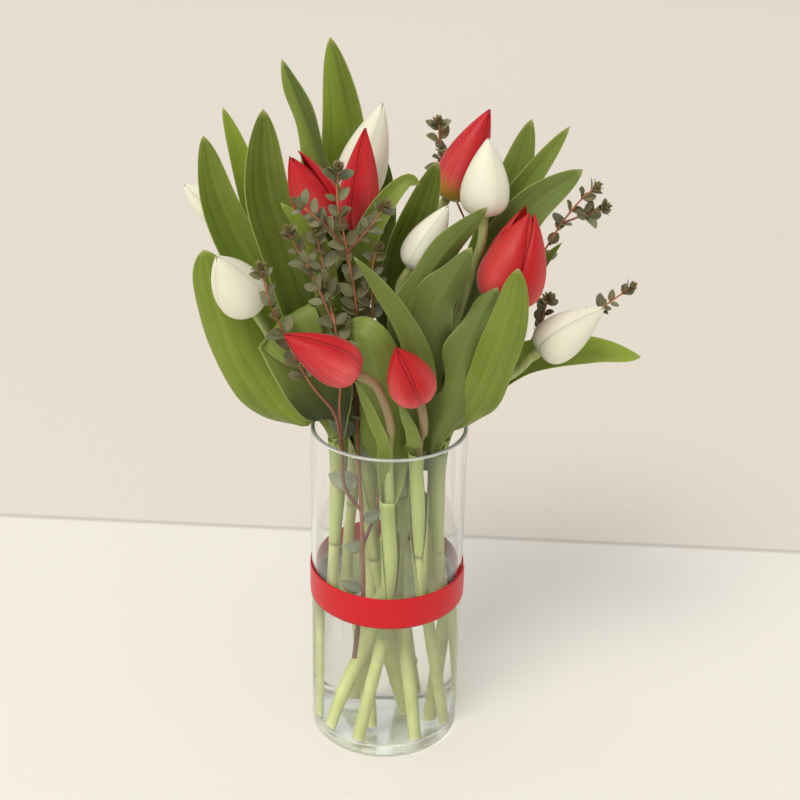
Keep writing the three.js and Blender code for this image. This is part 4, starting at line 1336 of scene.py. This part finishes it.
def build_vase():
    inner = VASE_RADIUS - VASE_WALL
    half = VASE_WALL / 2
    # The underside is a shallow hollow inside the ring that the vase stands on.
    profile = [(0.0, 1.2), (VASE_RADIUS - 16, 1.0), (VASE_RADIUS - 9, 0.0)]
    profile += arc((VASE_RADIUS - FOOT_ROUND, FOOT_ROUND), FOOT_ROUND, -90, 0, 8)
    # Rings close to both ends of each straight wall keep its smooth shading from leaning.
    profile += [(VASE_RADIUS, z) for z in (3.8, 6.0, VASE_HEIGHT - 5, VASE_HEIGHT - half - 0.3)]
    profile += arc((inner + half, VASE_HEIGHT - half), half, 0, 180, 10)
    profile += [(inner, z) for z in (VASE_HEIGHT - half - 0.3, VASE_HEIGHT - 5, 15.0, 13.3)]
    profile += arc((inner - INNER_ROUND, VASE_FLOOR + INNER_ROUND), INNER_ROUND, 0, -90, 8)
    profile += [(inner - 5.3, VASE_FLOOR), (inner - 8, VASE_FLOOR), (0.0, VASE_FLOOR)]
    vase = lathe("glass_cylinder", profile, GLASS)
    vase.data.materials.append(EDGE_GLASS)
    # The faces of the rim, the foot and the underside take the whitish edge glass, which is painted
    # light.
    for face in vase.data.polygons:
        height = face.center.z / MM
        if height > VASE_HEIGHT - half or height < 3.0:
            face.material_index = 1
    settle(vase, "vase")


def build_water():
    """Still water, a little into the glass, with the rise of its rim where it meets the wall."""
    inner = VASE_RADIUS - VASE_WALL + WATER_OVERLAP
    low = VASE_FLOOR - WATER_OVERLAP
    profile = [(0.0, low), (inner - 8, low), (inner - 5.3, low)]
    profile += arc((inner - INNER_ROUND, low + INNER_ROUND), INNER_ROUND, -90, 0, 8)
    profile += [(inner, z) for z in (low + 5.3, low + 8, WATER_TOP - 3, WATER_TOP + 1.0)]
    rim = [(0.0, 1.3), (0.5, 0.7), (1.2, 0.3), (2.4, 0.0), (2.8, 0.0), (6, 0.0)]
    profile += [(inner - inset, WATER_TOP + above) for inset, above in rim]
    profile += [(0.0, WATER_TOP)]
    settle(lathe("still_water", profile, WATER), "water")


def build_ribbon():
    band = thin_blades("satin_band", [ribbon_surface], RIBBON_GRID, RIBBON_THICK, 0.0, RIBBON)
    settle(band, "ribbon")


def build_stem(tulip):
    """A round stem that swells where its leaves open, at one node and at the bloom."""
    name = tulip["name"] + "_stem"
    points = stem_points(tulip)
    points[-1] = points[-1] + unit(points[-1] - points[-2]) * BLOOM_OVERLAP
    line = smooth_line(points, STEM_RINGS)
    share = np.linspace(0.0, 1.0, len(line))
    radius = stem_radius(share)
    swellings = [(leaf["at"] - 4, 0.5, 3.0) for leaf in tulip["leaves"]]
    swellings.append((46 + 9 * math.sin(7 * tulip["foot"][0] + tulip["foot"][1]), 0.55, 1.6))
    for height, swell, reach in swellings:
        radius = radius + swell * np.exp(-(((line[:, 2] - height) / reach) ** 2))
    radius = radius + 0.3 * ease((share - 0.97) / 0.03)
    source = lines_mesh(name, [line], [radius])
    stem = grow(name, source, TUBES, Sides=STEM_SIDES, Material=STEM_SKIN)
    set_value(stem.data, "brown", tulip["brown"])
    settle(stem, tulip["name"] + "_leafy_stem")


def build_sheaths(tulip):
    surfaces = [sheath_surface(tulip, leaf) for leaf in tulip["leaves"]]
    name = tulip["name"] + "_sheaths"
    piece = thin_blades(name, surfaces, SHEATH_GRID, SHEATH_THICK, 0.0, SHEATH_SKIN)
    settle(piece, tulip["name"] + "_leafy_stem")


def build_leaves(tulip):
    for i, leaf in enumerate(tulip["leaves"]):
        name = "%s_leaf_%d" % (tulip["name"], i + 1)
        surfaces = [leaf_surface(tulip, leaf)]
        piece = thin_blades(name, surfaces, LEAF_GRID, LEAF_THICK, LEAF_CROWD, LEAF_SKIN)
        for look in ("tone", "grey", "lit_half", "deep"):
            set_value(piece.data, look, leaf[look])
        settle(piece, tulip["name"] + "_leafy_stem")


def build_bloom(tulip):
    surfaces = [petal_surface(tulip, k) for k in range(6)]
    red = tulip["colour"] == "red"
    material = RED_PETAL if red else WHITE_PETAL
    name = tulip["name"] + "_petals"
    piece = thin_blades(name, surfaces, PETAL_GRID, PETAL_THICK, PETAL_CROWD, material)
    for look in ("blush", "yellow", "orange", "groove"):
        set_value(piece.data, look, tulip[look])
    settle(piece, tulip["name"] + "_bloom")


# The broad leaves low on the main twig: share of the twig, turn about it in radians, length.
LOW_LEAVES = [
    (0.15, 4.8, 21.0),
    (0.24, 5.2, 22.0),
    (0.30, 1.6, 15.0),
    (0.37, 4.6, 24.0),
    (0.43, 1.3, 16.0),
    (0.48, 4.9, 21.0),
]
# The upper faces of the small leaves lean this way.
FRONT_LEAN = np.array([0.1, -1.0, 0.45])


class Chance:
    """The same row of numbers between 0 and 1 each time, from its seed."""

    def __init__(self, seed):
        self.state = seed

    def __call__(self):
        self.state = (self.state * 16807) % 2147483647
        return self.state / 2147483647


def leaf_turn(direction, normal):
    """Rotation that lays a small leaf along a direction with its hollow side towards a normal."""
    side = unit(np.cross(direction, normal))
    face = np.cross(side, direction)
    rows = Matrix([[side[i], direction[i], face[i]] for i in range(3)])
    return tuple(rows.to_euler("XYZ"))


class Spray:
    """The lines, radii and leaves of one eucalyptus spray, gathered twig by twig."""

    def __init__(self, seed):
        self.random = Chance(seed)
        self.extra = Chance(seed + 900)
        self.lines = []
        self.radii = []
        self.leaves = []

    def start_twig(self, twig):
        self.line = smooth_line(twig["path"], TWIG_STEPS)
        self.tangents, self.normals, self.sides = line_frames(self.line, (0.0, -1.0, 0.0))
        share = np.linspace(0.0, 1.0, TWIG_STEPS + 1)
        low, high = twig["radii"]
        thick = low + (high * 0.75 - low) * share
        knots = 0.18 * np.exp(-(((share * 9) % 1.0 - 0.5) / 0.09) ** 2)
        self.lines.append(self.line)
        self.radii.append(list(thick + knots))

    def away(self, n, turn):
        """The direction straight out of the twig at a point, at a turn about it."""
        return self.normals[n] * math.cos(turn) + self.sides[n] * math.sin(turn)

    def add_leaf(self, root, direction, normal, size, young):
        tip = root + direction * LEAF_STALK
        self.lines.append(np.array([root, root + direction * 0.6, tip]))
        self.radii.append([0.34, 0.3, 0.26])
        self.leaves.append((tip, leaf_turn(direction, normal), size - LEAF_STALK, young))

    def add_leaning_leaf(self, n, turn, lift, size, young):
        out = self.away(n, turn)
        direction = unit(self.tangents[n] * math.cos(lift) + out * math.sin(lift))
        self.add_leaf(self.line[n], direction, self.tangents[n] + FRONT_LEAN, size, young)

    def add_pairs(self, twig):
        """Full leaves in pairs, each pair turned across the one before."""
        random = self.random
        for i in range(twig["pairs"]):
            s = twig["start"] + (1 - twig["start"]) * (i + 0.6) / twig["pairs"]
            n = int(math.floor(s * TWIG_STEPS + 0.5))
            turn = (i % 2) * 0.5 * math.pi + 0.5 * random() + 0.4
            for k in range(2):
                lift = 0.75 + 0.5 * random()
                size = twig["leaf"] * (1.15 - 0.5 * s) * (0.8 + 0.4 * random())
                self.add_leaning_leaf(n, turn + k * math.pi, lift, size, 0.15 * s)

    def add_tuft(self, twig):
        """The young leaves that stand close together at a twig's end."""
        tangent = self.tangents[TWIG_STEPS]
        for k in range(TUFT_LEAVES):
            out = self.away(TWIG_STEPS, 2.4 * k + self.random())
            direction = unit(tangent + out * (0.25 + 0.11 * k))
            root = self.line[TWIG_STEPS] - tangent * (0.2 + 0.55 * k)
            size = twig["leaf"] * (0.34 + 0.025 * k)
            self.add_leaf(root, direction, tangent, size, 0.9 - 0.06 * k)

    def add_young_pairs(self, twig):
        """Pairs of smaller, younger leaves between the full ones."""
        extra = self.extra
        count = twig["pairs"] * 2
        for i in range(count):
            s = min(0.97, twig["start"] + (1 - twig["start"]) * (i + 0.25) / count)
            n = int(s * TWIG_STEPS)
            turn = math.pi * extra()
            for k in range(2):
                lift = 0.6 + 0.4 * extra()
                size = twig["leaf"] * (1.15 - 0.45 * s) * (0.6 + 0.45 * extra())
                young = 0.15 + 0.5 * s * extra()
                self.add_leaning_leaf(n, turn + k * math.pi, lift, size, young)

    def add_low_leaves(self):
        """A few broad leaves inside the vase, kept clear of its wall."""
        for s, turn, size in LOW_LEAVES:
            n = int(s * TWIG_STEPS)
            direction = unit(self.tangents[n] * 0.45 + self.away(n, turn))
            while math.hypot(*(self.line[n] + direction * size)[:2]) > LOW_LEAF_REACH:
                size = size - 1.0
            self.add_leaf(self.line[n], direction, FRONT_LEAN, size, 0.0)


def build_spray(name, twigs, seed):
    spray = Spray(seed)
    for order, twig in enumerate(twigs):
        spray.start_twig(twig)
        spray.add_pairs(twig)
        spray.add_tuft(twig)
        spray.add_young_pairs(twig)
        if order == 0:
            spray.add_low_leaves()
    source = lines_mesh(name + "_twigs", spray.lines, spray.radii)
    bark = grow(name + "_twigs", source, TUBES, Sides=TWIG_SIDES, Material=BARK)
    settle(bark, name)
    tips, turns, sizes, youth = zip(*spray.leaves)
    points = bpy.data.meshes.new(name + "_leaves")
    points.from_pydata([tuple(tip * MM) for tip in tips], [], [])
    turn = points.attributes.new("turn", "FLOAT_VECTOR", "POINT")
    turn.data.foreach_set("vector", np.array(turns).ravel())
    set_value(points, "size", [size * MM for size in sizes])
    set_value(points, "shade", [0.75 * spray.extra() for tip in tips])
    set_value(points, "young", youth)
    foliage = grow(name + "_leaves", points, SMALL_LEAVES, Material=SMALL_LEAF_SKIN)
    settle(foliage, name)


build_vase()
build_water()
build_ribbon()
for tulip in TULIPS:
    build_stem(tulip)
    build_sheaths(tulip)
    build_leaves(tulip)
    build_bloom(tulip)
for number, spray in enumerate(SPRAYS):
    build_spray(spray["name"], spray["twigs"], 71 + number)

# --- floor and light
FLOOR_EDGE = 0.268
FLOOR_SLOPE = 0.046
FLOOR_NEAR = (0.850, 0.815, 0.750)
CLOTH_DARK = (0.735, 0.672, 0.588)
CLOTH_LIGHT = (0.825, 0.762, 0.673)
CLOTH_FAR_PAINTED_LIGHT = (0.93, 0.87, 0.78)
FLOOR_LINE = (0.40, 0.36, 0.31)
FLOOR_CORNERS = [(-9000, -5000, 0), (9000, -5000, 0), (9000, 12000, 0), (-9000, 12000, 0)]
SOFTBOX_PLACE = (-2.0, -3.0, 5.0)
SOFTBOX_AIM = (0.0, 0.2, 0.3)
SOFTBOX_SIZE = 2.6
SOFTBOX_POWER = 190.0
SKY_STRENGTH = 0.76


def build_floor():
    """A pale floor, with the faint line behind the vase where another surface begins."""
    material, tree, shader = new_material("pale_floor")
    place = object_place(tree)
    split = add_node(tree, "ShaderNodeSeparateXYZ", Vector=place)
    depth = times(tree, split.outputs["X"], FLOOR_SLOPE, split.outputs["Y"])
    far = step_between(tree, depth, FLOOR_EDGE - 0.001, FLOOR_EDGE + 0.002)
    cloth = blend_colour(tree, noise(tree, place, 260.0, 2.0), CLOTH_DARK, CLOTH_LIGHT)
    # Painted light: the cloth is painted lighter further away, making up for the light of the lamp and
    # sky falling off there.
    cloth = tint(tree, cloth, step_between(tree, depth, 0.4, 3.2), 0.85, CLOTH_FAR_PAINTED_LIGHT)
    colour = blend_colour(tree, far, FLOOR_NEAR, cloth)
    off_line = calc(tree, "ABSOLUTE", calc(tree, "SUBTRACT", depth, FLOOR_EDGE))
    colour = tint(tree, colour, step_between(tree, off_line, 0.006, 0.0), 0.5, FLOOR_LINE)
    set_inputs(tree, shader, Base_Color=colour, Roughness=0.5, Specular_IOR_Level=0.2)
    new_piece("floor", FLOOR_CORNERS, [(0, 1, 2, 3)], material)


def set_light():
    """One large soft light, high in front on the left."""
    light = bpy.data.lights.new("key_softbox", "AREA")
    light.size = SOFTBOX_SIZE
    light.energy = SOFTBOX_POWER
    light.color = (1.0, 0.98, 0.95)
    holder = bpy.data.objects.new("key_softbox", light)
    holder.location = SOFTBOX_PLACE
    aim = Vector(SOFTBOX_AIM) - Vector(SOFTBOX_PLACE)
    holder.rotation_euler = aim.to_track_quat("-Z", "Y").to_euler()
    scene.collection.objects.link(holder)


def set_sky():
    world = bpy.data.worlds.new("studio")
    scene.world = world
    world.use_nodes = True
    tree = world.node_tree
    place = tree.nodes.new("ShaderNodeTexCoord")
    split = add_node(tree, "ShaderNodeSeparateXYZ", Vector=place.outputs["Generated"])
    up = step_between(tree, split.outputs["Z"], 0.0, 0.8)
    colour = blend_colour(tree, up, (1.0, 0.975, 0.94), (0.90, 0.89, 0.87))
    set_inputs(tree, tree.nodes["Background"], Color=colour, Strength=SKY_STRENGTH)


build_floor()
set_sky()
set_light()
scene.view_settings.view_transform = "Standard"
scene.view_settings.look = "None"
scene.view_settings.exposure = 0.0
scene.view_settings.gamma = 1.0
